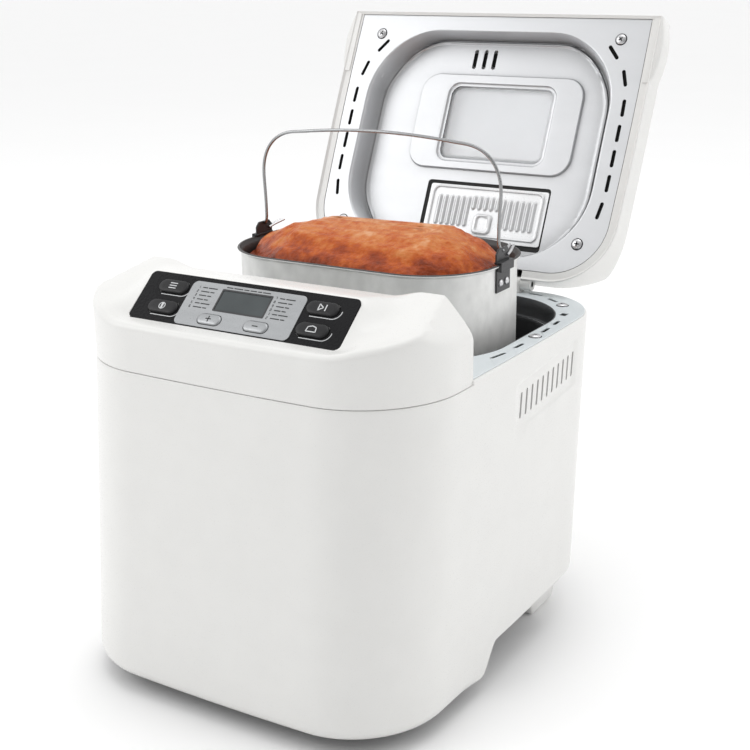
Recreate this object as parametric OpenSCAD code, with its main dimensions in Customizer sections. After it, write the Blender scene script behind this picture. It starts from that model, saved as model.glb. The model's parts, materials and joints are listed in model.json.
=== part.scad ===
// Horizontal-loaf bread machine with its lid open and its pan lifted half out.
// Millimetres, +Z up, the front faces -Y, the feet stand on Z = 0.

/* [Body] */
// Width of the body at the middle of its sides
body_w = 280; // [270:1:300]
// Distance from the body's middle line to its front corners
body_front = 172; // [168:1:180]
// Distance from the body's middle line to its flat back
body_back = 142; // [140:1:150]
// How far the front bulges past its corners
front_bow = 4; // [1:0.5:8]
// How far each side bulges past its corners
side_bow = 3; // [1:0.5:6]
// Radius of the two front corners
front_corner_r = 64; // [50:1:72]
// Radius of the two back corners
back_corner_r = 56; // [45:1:64]
// Height of the deck that the lid closes on
deck_z = 234; // [228:1:250]
// Thickness of the plastic walls
shell_t = 3; // [2:0.25:4]
// Height of the front skirt's lower edge
skirt_z = 12; // [8:0.5:16]
// Height of the lower edge behind the skirt
side_z = 33; // [28:1:40]
// Length of the skirt along the sides, from the front corners
skirt_len = 122; // [90:1:150]
// Width and height of the step around the deck
edge_step = 3; // [1:0.5:4]
// How far the walls run forward for each millimetre down
lean = 0.08; // [0:0.01:0.09]
// Width of the ledge around the deck
ledge_w = 18; // [16:1:18]
// Thickness of the base plate
base_t = 2.5; // [1.5:0.25:4]
// Gap between parts that are laid together
fit_gap = 0.3; // [0.2:0.05:0.4]

/* [Feet] */
// Distance of each front foot from the body's side
front_foot_side = 48; // [40:1:70]
// Distance of the front feet behind the front corners
front_foot_in = 46; // [40:1:60]
// Radius of a front foot
front_foot_r = 11; // [8:0.5:15]
// Distance of each rear foot from the body's side
rear_foot_side = 28; // [24:1:50]
// Width of a rear foot
rear_foot_w = 16; // [12:1:22]
// Length of a rear foot on the table
rear_foot_len = 36; // [25:1:50]
// Distance of the rear feet ahead of the back
rear_foot_in = 52; // [40:1:70]
// Slope at each end of a rear foot
rear_foot_slope = 16; // [8:1:22]

/* [Side vents] */
// Number of slots in each side vent
vent_count = 11; // [5:1:13]
// Distance from slot to slot
vent_pitch = 8.6; // [7:0.1:9]
// Width of one slot
vent_slot_w = 2.6; // [2:0.2:4]
// Height of one slot
vent_slot_h = 20; // [12:1:30]
// Height of the middle of the slots above the table
vent_z = 205; // [190:1:212]
// Position of the first slot behind the body's middle line
vent_y = -8; // [-20:1:0]

/* [Control housing] */
// Distance of the housing's back wall ahead of the middle line
housing_back = 88; // [84:1:95]
// Height of the brow above the deck
brow_h = 31; // [26:1:36]
// Height of the two shoulders at the back wall
shoulder_h = 54; // [48:1:58]
// Distance of each shoulder's end inside the body's side
shoulder_in = 21; // [15:1:26]
// Height of the middle of the back wall
saddle_h = 49; // [44:1:53]
// Width of the wedge that carries the controls
wedge_w = 176; // [172:1:184]
// Slope of the control panel
panel_angle = 41; // [36:0.5:46]
// Distance of the panel's lower edge behind the front corners
panel_in = 13; // [10:0.5:16]
// Height of the panel's lower edge above the deck
panel_h0 = 29.6; // [26:0.2:31]

/* [Controls] */
// Width of the black overlay
overlay_w = 167; // [160:1:170]
// Height of the black overlay up the slope
overlay_d = 39.4; // [38:0.2:42]
// Thickness of the overlay
overlay_t = 1.2; // [0.8:0.1:2]
// Corner radius of the overlay
overlay_r = 4; // [2:0.5:6]
// Width of the display fascia
fascia_w = 91; // [88:0.5:96]
// Height of the display fascia
fascia_d = 34.6; // [33:0.2:36]
// Thickness of the display fascia
fascia_t = 0.6; // [0.4:0.1:1]
// Height of the display fascia's middle up the slope
fascia_v = 18.5; // [18:0.1:19.5]
// Width of the display window
lcd_w = 39.5; // [34:0.5:44]
// Height of the display window
lcd_d = 16.5; // [12:0.5:18]
// Height of the display window's middle up the slope
lcd_v = 23.4; // [22:0.2:25]
// Length of a dark button
button_w = 24; // [20:0.5:26]
// Height of a dark button
button_d = 10; // [8:0.5:11]
// Distance of the dark buttons from the middle
button_u = 59.5; // [58:0.5:62]
// Height of the lower dark buttons up the slope
button_v1 = 12; // [10:0.5:13]
// Height of the upper dark buttons up the slope
button_v2 = 28.5; // [26:0.5:30]
// Length of a light button
small_button_w = 18.5; // [14:0.5:20]
// Height of a light button
small_button_d = 8; // [6:0.5:9]
// Distance of the light buttons from the middle
small_button_u = 18.5; // [16:0.5:24]
// Height of the light buttons up the slope
small_button_v = 7.6; // [7:0.2:8]
// How far a button stands out of the overlay
button_proud = 1.8; // [1.4:0.2:2.4]
// How far a button can be pressed
button_travel = 1; // [0.5:0.1:1.2]
// Gap around a button
button_gap = 0.4; // [0.3:0.05:0.6]

/* [Oven] */
// Width of the deck on each side of the oven
oven_side = 20; // [18:0.5:23]
// Distance of the oven behind the housing's back
oven_fore = 16; // [14:0.5:20]
// Corner radius of the oven's mouth
oven_r = 60; // [52:1:64]
// Depth of the deck behind the oven
oven_aft = 22; // [20:0.5:26]
// Thickness of the oven's sheet
oven_t = 1.2; // [0.8:0.1:1.6]
// Height of the oven's floor
oven_z = 52; // [50:1:58]
// Thickness of the rim plate
rim_t = 1.2; // [0.8:0.1:1.6]
// Distance of the rim plate inside the body's outline
rim_in = 8; // [7:0.5:10]
// Width of a slot in the rim and lid plates
slot_w = 2.4; // [2:0.2:3]
// Length of a slot in the rim and lid plates
slot_len = 15; // [10:1:16]
// Diameter of the heating element
heater_d = 6.6; // [6:0.2:8]
// Gap between the heating element and the oven wall
heater_gap = 6; // [4:0.5:9]
// Height of the heating element above the oven floor
heater_h = 20; // [14:1:26]

/* [Pan] */
// Space on each side of the pan in the oven
pan_side = 17; // [16:0.5:20]
// Space before and behind the pan in the oven
pan_ends = 31; // [29:0.5:33]
// Corner radius of the pan's wall
pan_r = 52; // [44:1:56]
// Thickness of the pan's wall
pan_t = 1.6; // [1.2:0.1:2.5]
// Height of the pan from its foot to its rim
pan_h = 140; // [132:1:142]
// How far the rolled rim stands out of the wall
rim_lip = 4; // [3:0.5:5]
// How far the pan is lifted out at rest
pan_lift = 73; // [60:1:80]
// Gap between the seated pan's foot and the oven floor
pan_seat_h = 20; // [18:1:22]
// Radius of the pan's foot ring
pan_foot_r = 46; // [38:1:50]
// Height of the pan's foot ring
pan_foot_h = 12; // [8:1:14]

/* [Bail] */
// Diameter of the bail's wire
wire_d = 3.6; // [3:0.2:4.5]
// Height of the bail above its pivots
bail_h = 73; // [68:1:76]
// Distance of the bail's legs inside the pan's sides
bail_in = 3; // [2:0.5:5]
// Radius of the bail's two shoulders
bail_r = 34; // [28:1:40]
// Height of the bail's pivots above the pan's rim
pivot_h = 12; // [10:0.5:14]
// Width of a bail bracket
bracket_w = 22; // [18:1:26]
// Thickness of a bail bracket
bracket_t = 1.5; // [1:0.1:2]

/* [Loaf and paddle] */
// Rise of the loaf above the pan's rim
loaf_rise = 24; // [16:1:26]
// Gap between the loaf and the pan's wall
loaf_gap = 3; // [2:0.5:5]
// Diameter of the pan's shaft
pan_shaft_d = 8; // [7:0.5:10]
// Length of the paddle's blade
paddle_len = 42; // [34:1:48]
// Height of the paddle's blade
paddle_h = 32; // [24:1:36]

/* [Drive] */
// Radius of the drive pulley
drive_pulley_r = 46; // [40:1:50]
// Radius of the motor pulley
motor_pulley_r = 9; // [8:0.5:12]
// Height of the belt
belt_h = 6; // [5:0.5:8]
// Thickness of the belt
belt_t = 2; // [1.5:0.25:3]
// Height of the belt's lower edge
belt_z = 38; // [37:0.5:39]
// Distance of the motor from the body's side
motor_side = 62; // [56:1:70]
// Distance of the motor ahead of the body's middle line
motor_y = 122; // [116:1:124]
// Radius of the motor
motor_r = 28; // [24:1:30]
// Height of the motor
motor_h = 62; // [50:1:70]
// Diameter of the motor's shaft
motor_shaft_d = 6; // [5:0.5:8]

/* [Lid] */
// Angle that the lid stands open
lid_open = 115; // [100:1:116]
// Gap between the closed lid and the housing
lid_gap = 1.5; // [1:0.25:3]
// Distance of the lid's back wall ahead of the body's back
lid_back_in = 10; // [8:0.5:14]
// Height of the lid's side wall
lid_wall_h = 29; // [24:1:34]
// Height of the lid above the deck
lid_h = 53; // [50:1:56]
// Width of the slope around the lid's top
lid_slope = 22; // [16:1:28]
// Thickness of the lid's shell
lid_t = 2.5; // [2:0.25:3.5]
// Radius of the lid's back corners
lid_corner_r = 50; // [40:1:56]
// Distance of the lid's plate inside its shell
plate_in = 8; // [6:0.5:10]
// Height of the lid's plate above the deck
plate_h = 3.5; // [3:0.25:5]
// Thickness of the lid's plate
plate_t = 1; // [0.8:0.1:1.5]
// How far the dish stays inside the oven's sides
dish_side = 7; // [5:0.5:12]
// How far the dish stays inside the oven's ends
dish_ends = 3; // [2:0.5:8]
// Corner radius of the plate's dish
dish_r = 62; // [52:1:66]
// Middle of the dish ahead of the oven's middle
dish_fwd = 2; // [0:0.5:4]
// Height of the dish's first step
dish_h1 = 12; // [8:0.5:14]
// Height of the dish's floor above the plate
dish_h = 21; // [18:0.5:24]
// Width of the dish's step
dish_step = 6; // [4:0.5:10]
// How far each grip stands out of the lid's side
grip_out = 6; // [4:0.5:9]
// Radius of each grip's curve
grip_r = 80; // [60:1:100]
// Height of each grip
grip_h = 22; // [16:1:26]

/* [Hinge] */
// Height of the hinge above the deck
hinge_h = 8; // [7.5:0.25:10]
// Distance of the hinge's axis behind the lid's back wall
hinge_out = 2; // [1:0.25:3]
// Radius of the hinge's pins
hinge_pin_r = 2; // [1.5:0.1:2.5]
// Radius of the hinge's knuckles
knuckle_r = 5; // [4.5:0.1:5.5]
// Length of each knuckle
knuckle_len = 9; // [7:0.5:12]
// Distance of each hinge from the middle
hinge_x = 62; // [50:1:80]
// Running clearance of the hinge's pins
pin_gap = 0.05; // [0.03:0.01:0.1]

/* [Window and dispenser] */
// Width of the window
window_w = 94; // [84:1:100]
// Depth of the window
window_d = 63; // [54:1:68]
// Middle of the window across the lid
window_x = 7; // [0:1:12]
// Distance of the window's middle ahead of the oven's middle
window_fwd = 26; // [22:1:30]
// Width of the dispenser's mouth
mouth_w = 112; // [104:1:114]
// Depth of the dispenser's mouth
mouth_d = 50; // [44:1:52]
// Middle of the dispenser across the lid
mouth_x = 7; // [0:1:12]
// Distance of the dispenser's middle behind the oven's middle
mouth_back = 50; // [47:1:54]
// Depth of the flap's rubber frame below the plate
seal_drop = 2.4; // [2:0.2:3]

/* [Hidden] */
$fn = 64;
white = [0.93, 0.93, 0.91];
steel = [0.78, 0.79, 0.80];
alloy = [0.72, 0.72, 0.70];
dark = [0.12, 0.12, 0.13];
eps = 0.01;
big = 400;
// The oven keeps its margins from the body, the pan and the dish theirs from the oven.
oven_w = body_w - 2 * oven_side;
oven_d = body_back + housing_back - oven_fore - oven_aft;
oven_y = (body_back - oven_aft - housing_back + oven_fore) / 2;
pan_w = oven_w - 2 * pan_side;
pan_d = oven_d - 2 * pan_ends;
bail_x = pan_w / 2 - bail_in;
dish_w = oven_w - 2 * dish_side;
dish_d = oven_d - 2 * dish_ends;
front_foot_x = body_w / 2 - front_foot_side;
rear_foot_x = body_w / 2 - rear_foot_side;
motor_x = body_w / 2 - motor_side;

// Plan of the body: corners joined by bowed sides.
arc_n = 9;
side_n = 6;
function arc(cx, cy, r, a0) =
    [for (i = [0:arc_n]) [cx + r * cos(a0 + 90 * i / arc_n), cy + r * sin(a0 + 90 * i / arc_n)]];
function between(p, q) = [for (i = [1:side_n - 1]) p + (q - p) * i / side_n];
function bowed(p, hw, yf, yb) =
    let (yc = (yf + yb) / 2, hd = (yb - yf) / 2, s = max(0, (yc - p.y) / hd))
    [p.x * (1 + side_bow / hw * (1 - pow((p.y - yc) / hd, 2))),
     p.y - front_bow * s * (1 - pow(p.x / hw, 2))];
function plan(inset, back = body_back, back_r = back_corner_r) =
    let (hw = body_w / 2 - side_bow - inset, yf = -body_front + inset, yb = back - inset,
         rf = front_corner_r - inset, rb = back_r - inset,
         a = arc(hw - rf, yf + rf, rf, -90), b = arc(hw - rb, yb - rb, rb, 0),
         c = arc(rb - hw, yb - rb, rb, 90), d = arc(rf - hw, yf + rf, rf, 180),
         all = concat(a, between(a[arc_n], b[0]), b, c, between(c[arc_n], d[0]), d,
                      between(d[arc_n], a[0])))
    [for (p = all) bowed(p, hw, yf, yb)];
module slab(inset, z0, z1, back = body_back, back_r = back_corner_r) {
    translate([0, 0, z0]) linear_extrude(z1 - z0) polygon(plan(inset, back, back_r));
}
// The walls lean: level with the step above them, further forward below.
module leaning() {
    multmatrix([[1, 0, 0, 0], [0, 1, lean, -lean * step_z], [0, 0, 1, 0], [0, 0, 0, 1]])
        children();
}
function leaned(z) = lean * (z - step_z);
// A rounded rectangle of true arcs.
module rounded(w, d, r) {
    square([w - 2 * r, d], center = true);
    square([w, d - 2 * r], center = true);
    for (x = [r - w / 2, w / 2 - r], y = [r - d / 2, d / 2 - r])
        translate([x, y]) circle(r);
}
module rounded_slab(w, d, r, z0, z1) {
    translate([0, 0, z0]) linear_extrude(z1 - z0) rounded(w, d, r);
}
// A bar with half-round ends, its length along X.
module stadium(len, w) {
    rounded(len, w, w / 2 - eps);
}
// A profile drawn in Y and Z, swept along X.
module along_x(x0, x1) {
    translate([x0, 0, 0]) rotate([90, 0, 90]) linear_extrude(x1 - x0) children();
}
// A profile drawn in X and Z, swept along Y.
module along_y(y0, y1) {
    translate([0, y1, 0]) rotate([90, 0, 0]) linear_extrude(y1 - y0) children();
}
module rod_x(r, x0, x1) {
    translate([x0, 0, 0]) rotate([0, 90, 0]) cylinder(r = r, h = x1 - x0);
}
module ring(r_out, r_in, h) {
    difference() {
        cylinder(r = r_out, h = h);
        translate([0, 0, -1]) cylinder(r = r_in, h = h + 2);
    }
}

// ---- Body ----
skirt_y = -body_front + skirt_len;
skirt_slope = 14;
base_z = side_z + fit_gap;
step_z = deck_z - edge_step;
ledge_t = 4;
hinge_y = body_back - lid_back_in + hinge_out;
hinge_z = deck_z + hinge_h;
hinge_sides = [-hinge_x, hinge_x];
post_w = knuckle_len;

module vent_slots() {
    for (side = [-1, 1], i = [0:vent_count - 1])
        translate([side * body_w / 2, vent_y + i * vent_pitch, vent_z])
            rotate([0, 90, 0]) translate([0, 0, -ledge_w])
            linear_extrude(2 * ledge_w) stadium(vent_slot_h, vent_slot_w);
}
module hinge_post(x) {
    translate([x, hinge_y, hinge_z]) difference() {
        union() {
            rod_x(knuckle_r, -post_w / 2, post_w / 2);
            translate([-post_w / 2, -knuckle_r, -hinge_h - edge_step - 1])
                cube([post_w, 2 * knuckle_r, hinge_h + edge_step + 1]);
        }
        rod_x(hinge_pin_r + pin_gap, -post_w, post_w);
    }
}
gland_x = 64 - body_w / 2;
gland_z = 62;
gland_r = 6;
// Where the cord enters, square to the leaning back wall, with Z pointing inwards.
module at_gland() {
    translate([gland_x, body_back + leaned(gland_z), gland_z])
        rotate([90 - atan(lean), 0, 0]) children();
}
// Bosses inside the walls take the screws of the base plate.
boss_r = 5;
boss_h = 14;
module base_bosses() {
    intersection() {
        for (p = base_screw_points) translate([p.x, p.y, base_z + base_t + fit_gap]) {
            cylinder(r = boss_r, h = boss_h);
            translate([-1, p.y < 0 ? -2 * boss_r : 0, 0]) cube([2, 2 * boss_r, boss_h]);
        }
        leaning() slab(shell_t / 2, base_z, step_z);
    }
}
module body_shell() {
    color(white) difference() {
        union() {
            difference() {
                union() {
                    leaning() slab(0, skirt_z, step_z);
                    slab(edge_step, step_z - eps, deck_z);
                }
                leaning() slab(shell_t, skirt_z - 1, step_z - ledge_t);
                slab(ledge_w, step_z - ledge_t - 1, deck_z + 1);
            }
            for (x = hinge_sides) hinge_post(x);
            base_bosses();
        }
        for (p = base_screw_points) translate([p.x, p.y, base_z])
            cylinder(r = screw_r, h = boss_h);
        along_x(-big, big) polygon([
            [skirt_y, 0], [skirt_y + skirt_slope, side_z], [big, side_z], [big, 0]]);
        vent_slots();
        at_gland() translate([0, 0, -shell_t]) cylinder(r = gland_r, h = 4 * shell_t);
        for (p = rim_screw_points) translate([p.x, p.y, step_z - ledge_t - 1])
            cylinder(r = screw_r, h = big);
        for (x = [-tie_x, tie_x]) translate([x, tie_y, step_z - ledge_t - 1])
            cylinder(r = screw_r, h = big);
    }
}
// Screws through the ledge hold the housing's floor strip.
strip_w = 17;
strip_t = 2;
tie_x = body_w / 2 - ledge_w / 2 - 2;
tie_y = -housing_back - strip_w / 2;
module housing_screws() {
    color(steel) for (x = [-tie_x, tie_x])
        translate([x, tie_y, step_z - ledge_t]) rotate([180, 0, 0]) screw(ledge_t + edge_step + 3);
}

screw_r = 1.8;
rim_screw_len = 8;
base_screw_len = 9;
lid_screw_len = 10;
screw_head_r = 4.2;
screw_head_h = 1.6;
// A pan-head screw, its head's underside at Z = 0.
module screw(len) {
    cylinder(r = screw_head_r, h = screw_head_h);
    translate([0, 0, -len]) cylinder(r = screw_r - fit_gap, h = len + eps);
}
base_in = shell_t + fit_gap;
base_screw_points = [for (x = [-body_w / 4, body_w / 4],
                          y = [-body_front + 2 * boss_r, body_back - 2 * boss_r])
    [x, y + leaned(base_z)]];
front_foot_y = -body_front + front_foot_in + leaned(base_z);
module base_plate() {
    color(dark) difference() {
        union() {
            leaning() slab(base_in, base_z, base_z + base_t);
            for (x = [-front_foot_x, front_foot_x])
                translate([x, front_foot_y, foot_t])
                cylinder(r = front_foot_r, h = base_z - foot_t + eps);
        }
        for (x = [-front_foot_x, front_foot_x])
            translate([x, front_foot_y, foot_t + base_t])
            cylinder(r = front_foot_r - base_t, h = base_z);
        for (p = base_screw_points) translate([p.x, p.y, 0])
            cylinder(r = screw_r, h = big);
        for (i = [-4:4], j = [0:2]) translate([i * 14, oven_y + 48 + j * 16, base_z - 1])
            cylinder(r = screw_r + 1, h = 2 * base_t);
    }
}
foot_t = 5;
module front_feet() {
    color(dark) for (x = [-front_foot_x, front_foot_x])
        translate([x, front_foot_y, 0])
        cylinder(r = front_foot_r + 1, h = foot_t);
}
module rear_feet() {
    y1 = body_back - rear_foot_in;
    y0 = y1 - rear_foot_len;
    color(white) for (x = [-rear_foot_x, rear_foot_x])
        along_x(x - rear_foot_w / 2, x + rear_foot_w / 2) polygon([
            [y0 - rear_foot_slope, base_z], [y0 - 2, 6], [y0, 0],
            [y1, 0], [y1 + rear_foot_slope, base_z]]);
}
module base_screws() {
    color(steel) for (p = base_screw_points)
        translate([p.x, p.y, base_z]) rotate([180, 0, 0]) screw(base_screw_len);
}
module cord_gland() {
    color(dark) at_gland() translate([0, 0, -3]) difference() {
        union() {
            cylinder(r = gland_r + 3, h = 3 - eps);
            cylinder(r = gland_r - fit_gap, h = 3 + shell_t + 2);
        }
        translate([0, 0, -1]) cylinder(r = gland_r - 2.5, h = big);
    }
}

// ---- Control housing ----
panel_y = -body_front + panel_in;
panel_z = deck_z + panel_h0;
crest_y = panel_y + overlay_d * cos(panel_angle);
crest_z = panel_z + overlay_d * sin(panel_angle);
crest_w = 5;
brow_z = deck_z + brow_h;
seam_z = deck_z + fit_gap;
front_y = -body_front - front_bow;
back_y = -housing_back;
// Places its children on the sloping panel: X across, Y up the slope, Z outwards.
module on_panel() {
    translate([0, panel_y, panel_z]) rotate([panel_angle, 0, 0]) children();
}
module wedge_profile(t) {
    polygon([[front_y, seam_z - eps], [front_y, panel_z + 0.4 - t], [panel_y + t / 2, panel_z - t],
             [crest_y + t / 2, crest_z + 0.6 - t], [crest_y + crest_w, crest_z + 0.6 - t],
             [back_y, deck_z + saddle_h - t], [back_y, seam_z - eps]]);
}
module wing_profile(t) {
    polygon([[front_y, seam_z - eps], [front_y, brow_z - t],
             [back_y, deck_z + shoulder_h - t], [back_y, seam_z - eps]]);
}
module shoulder_profile(t) {
    hw = body_w / 2;
    polygon([[-hw, seam_z - eps], [-hw, brow_z - t], [shoulder_in - hw, deck_z + shoulder_h - t],
             [hw - shoulder_in, deck_z + shoulder_h - t], [hw, brow_z - t], [hw, seam_z - eps]]);
}
module housing_form(t) {
    intersection() {
        slab(t, seam_z, big);
        union() {
            along_x(-wedge_w / 2 + t, wedge_w / 2 - t) wedge_profile(t * 1.2);
            intersection() {
                union() for (side = [0, 1]) mirror([side, 0, 0])
                    along_x(wedge_w / 2 - t - eps, big) wing_profile(t * 1.2);
                along_y(-big, back_y) shoulder_profile(t * 1.2);
            }
        }
        translate([-big, -big, 0]) cube([2 * big, big - housing_back - t, big]);
    }
}
buttons_dark = [[-button_u, button_v2], [-button_u, button_v1],
                [button_u, button_v2], [button_u, button_v1]];
buttons_light = [[-small_button_u, small_button_v], [small_button_u, small_button_v]];
// Holes for the six buttons and the display.
module panel_holes(z0, z1, gap) {
    translate([0, 0, z0]) linear_extrude(z1 - z0) {
        for (p = buttons_dark) translate(p) stadium(button_w + 2 * gap, button_d + 2 * gap);
        for (p = buttons_light) translate(p)
            stadium(small_button_w + 2 * gap, small_button_d + 2 * gap);
        translate([0, lcd_v]) square([lcd_w, lcd_d], center = true);
    }
}
module control_housing() {
    color(white) difference() {
        housing_form(0);
        difference() {
            translate([0, 0, -fit_gap]) housing_form(shell_t);
            translate([-big, back_y - strip_w, 0]) cube([2 * big, strip_w, seam_z + strip_t]);
        }
        on_panel() {
            translate([0, overlay_d / 2, -overlay_t - eps])
                rounded_slab(overlay_w + 2 * fit_gap, overlay_d + 2 * fit_gap, overlay_r, 0, big);
            panel_holes(-board_drop, overlay_t, button_gap);
        }
        for (x = [-tie_x, tie_x]) translate([x, tie_y, 0])
            cylinder(r = screw_r, h = seam_z + 2 * strip_t);
    }
}
module control_overlay() {
    color(dark) on_panel() difference() {
        translate([0, overlay_d / 2, 0])
            rounded_slab(overlay_w, overlay_d, overlay_r, -overlay_t, 0);
        panel_holes(-5, 5, button_gap);
    }
}
module display_fascia() {
    color(steel) on_panel() difference() {
        translate([0, fascia_v, 0]) rounded_slab(fascia_w, fascia_d, overlay_r, 0, fascia_t);
        panel_holes(-5, 5, button_gap);
    }
}
lens_t = 1;
lens_z = fascia_t - lens_t - 0.2;
module display_lens() {
    color([0.3, 0.33, 0.34]) on_panel() translate([0, lcd_v, lens_z])
        linear_extrude(lens_t) square([lcd_w - 2 * fit_gap, lcd_d - 2 * fit_gap], center = true);
}
lcd_t = 4;
board_t = 1.6;
board_drop = 9;
module lcd_module() {
    color([0.45, 0.5, 0.42]) on_panel()
        translate([-lcd_w / 2 + 1, lcd_v - lcd_d / 2 + 1, lens_z - lcd_t])
        cube([lcd_w - 2, lcd_d - 2, lcd_t - eps]);
}
button_stem = 1.4 * shell_t + fit_gap;
flange_t = 1.2;
switch_w = 6;
switch_h = board_drop - button_stem - flange_t - button_travel - fit_gap;
module control_board() {
    color([0.1, 0.35, 0.2]) on_panel() translate([0, 0, -board_drop]) {
        translate([-overlay_w / 2 + 8, 2, -board_t]) cube([overlay_w - 16, overlay_d - 6, board_t]);
        for (p = concat(buttons_dark, buttons_light))
            translate([p.x - switch_w / 2, p.y - switch_w / 2, -eps])
            cube([switch_w, switch_w, switch_h]);
        translate([-lcd_w / 2, lcd_v - switch_w / 2, -eps])
            cube([lcd_w, switch_w, board_drop + lens_z - lcd_t]);
    }
}
// A push button: its cap stands through the overlay, its flange lies behind the wall.
module button(p, w, d) {
    on_panel() translate([p.x, p.y, -button_stem]) {
        linear_extrude(button_stem + button_proud) stadium(w, d);
        translate([0, 0, -flange_t]) linear_extrude(flange_t + eps) stadium(w + 2, d + 1.5);
    }
}
module button_menu() color(dark) button(buttons_dark[0], button_w, button_d);
module button_color() color(dark) button(buttons_dark[1], button_w, button_d);
module button_start_stop() color(dark) button(buttons_dark[2], button_w, button_d);
module button_loaf() color(dark) button(buttons_dark[3], button_w, button_d);
module button_plus() color(steel) button(buttons_light[0], small_button_w, small_button_d);
module button_minus() color(steel) button(buttons_light[1], small_button_w, small_button_d);

// ---- Rim plate and oven ----
rim_z = deck_z;
rim_front = housing_back - 4;
rim_mid_x = (oven_w / 2 + body_w / 2 - rim_in) / 2 - 1;
rim_screw_points = [for (s = [-1, 1]) each [
    [s * (rim_mid_x + 0.5), oven_y + 15.5], [s * (rim_mid_x - 19), oven_y + oven_d / 2 - 1]]];
// Slots on each side, then along the back: [x, y, turn].
rim_slots = [for (s = [-1, 1]) each [
    [s * (rim_mid_x - 2), oven_y - 43, s * 80], [s * rim_mid_x, oven_y - 12.5, s * 90],
    [s * rim_mid_x, oven_y + 35, s * 90], [s * rim_mid_x, oven_y + 59.5, s * 93],
    [s * 0.704 * rim_mid_x, oven_y + oven_d / 2 + 4, s * -28],
    [s * 0.368 * rim_mid_x, oven_y + oven_d / 2 + 9, s * -4],
    [s * 0.128 * rim_mid_x, oven_y + oven_d / 2 + 9, 0]]];
module slots(list, z0, z1) {
    for (p = list) translate([p.x, p.y, z0]) rotate([0, 0, p.z])
        linear_extrude(z1 - z0) stadium(slot_len, slot_w);
}
module rim_plate() {
    color(steel) difference() {
        intersection() {
            slab(rim_in, rim_z, rim_z + rim_t);
            translate([-big, -rim_front, 0]) cube([2 * big, big, big]);
        }
        translate([0, oven_y, 0]) rounded_slab(oven_w, oven_d, oven_r, 0, big);
        slots(rim_slots, 0, big);
        for (s = [-1, 1]) translate([s * (rim_mid_x - 9), oven_y + oven_d / 2 - 12, rim_z])
            rotate([0, 0, -30 * s])
            cube([7, 8, 2 * rim_t], center = true);
        for (p = rim_screw_points) translate([p.x, p.y, 0]) cylinder(r = screw_r, h = big);
        for (x = hinge_sides) translate([x - post_w / 2 - 1, hinge_y - knuckle_r - 1, 0])
            cube([post_w + 2, big, big]);
    }
}
module rim_screws() {
    color(steel) for (p = rim_screw_points)
        translate([p.x, p.y, rim_z + rim_t]) screw(rim_screw_len);
}
oven_top = rim_z + rim_t;
module oven_walls(grow, z0, z1) {
    translate([0, oven_y, 0])
        rounded_slab(oven_w + 2 * grow, oven_d + 2 * grow, oven_r + grow, z0, z1);
}
heater_z = oven_z + heater_h;
heater_lead_x = 24;
sensor_x = 60;
sensor_z = 110;
sensor_r = 3;
module oven_chamber() {
    color(alloy) difference() {
        oven_walls(-fit_gap, oven_z, oven_top - eps);
        oven_walls(-fit_gap - oven_t, oven_z + oven_t, oven_top + 1);
        translate([0, oven_y, 0]) cylinder(r = bearing_r, h = big);
        for (x = [-heater_lead_x, heater_lead_x]) translate([x, oven_y, heater_z])
            rotate([90, 0, 0]) cylinder(r = heater_d / 2, h = big);
        translate([sensor_x, oven_y, sensor_z])
            rotate([90, 0, 0]) cylinder(r = sensor_r, h = big);
    }
}
// The element runs round the oven just inside its wall, its two leads through the front.
module heating_element() {
    r = heater_d / 2;
    in = fit_gap + oven_t + heater_gap + r;
    w = oven_w / 2 - in;
    d = oven_d / 2 - in;
    c = oven_r - in;
    lead = 14;
    bend = heater_gap + r - 1;
    color(dark) translate([0, oven_y, heater_z]) {
        for (s = [-1, 1], t = [-1, 1])
            translate([s * (w - c), t * (d - c), 0])
            rotate([0, 0, s > 0 ? (t > 0 ? 0 : -90) : (t > 0 ? 90 : 180)])
            rotate_extrude(angle = 90) translate([c, 0]) circle(r);
        for (s = [-1, 1]) translate([s * w, c - d, 0])
            rotate([-90, 0, 0]) cylinder(r = r, h = 2 * (d - c));
        translate([0, d, 0]) rod_x(r, c - w, w - c);
        for (s = [-1, 1]) mirror([s > 0 ? 0 : 1, 0, 0]) {
            translate([0, -d, 0]) rod_x(r, heater_lead_x + bend, w - c);
            translate([heater_lead_x + bend, -d - bend, 0]) rotate([0, 0, 90])
                rotate_extrude(angle = 90) translate([bend, 0]) circle(r);
            translate([heater_lead_x, -d - bend, 0])
                rotate([90, 0, 0]) cylinder(r = r - pin_gap, h = lead);
        }
    }
}
module oven_sensor() {
    color(steel) translate([sensor_x, oven_y - oven_d / 2 - 6, sensor_z])
        rotate([-90, 0, 0]) cylinder(r = sensor_r - pin_gap, h = 22);
}

// ---- Drive ----
bearing_r = 11;
shaft_r = 5;
seat_r = pan_foot_r + 4;
seat_h = pan_seat_h - oven_t - fit_gap;
dog_w = 5;
dog_len = 28;
dog_h = 4.5;
dog_z = oven_z + pan_seat_h - 11;
module pan_seat() {
    color(alloy) translate([0, oven_y, oven_z + oven_t]) difference() {
        union() {
            ring(seat_r, seat_r - 2.5, seat_h);
            ring(seat_r, bearing_r + 4, 2);
            for (a = [0:90:270]) rotate([0, 0, a + 45]) translate([seat_r - 1, -6, 0])
                cube([12, 12, 2]);
        }
        for (a = [0:90:270]) rotate([0, 0, a]) translate([seat_r - 6, -8, seat_h - 8])
            cube([12, 16, 12]);
    }
}
module drive_bearing() {
    color(steel) translate([0, oven_y, 0]) difference() {
        union() {
            translate([0, 0, belt_z + belt_h + 3])
                cylinder(r = bearing_r - 0.1, h = oven_z + oven_t + 3 - belt_z - belt_h - 3);
            translate([0, 0, oven_z + oven_t]) cylinder(r = bearing_r + 3, h = 3);
        }
        cylinder(r = shaft_r + pin_gap, h = big);
    }
}
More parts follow.
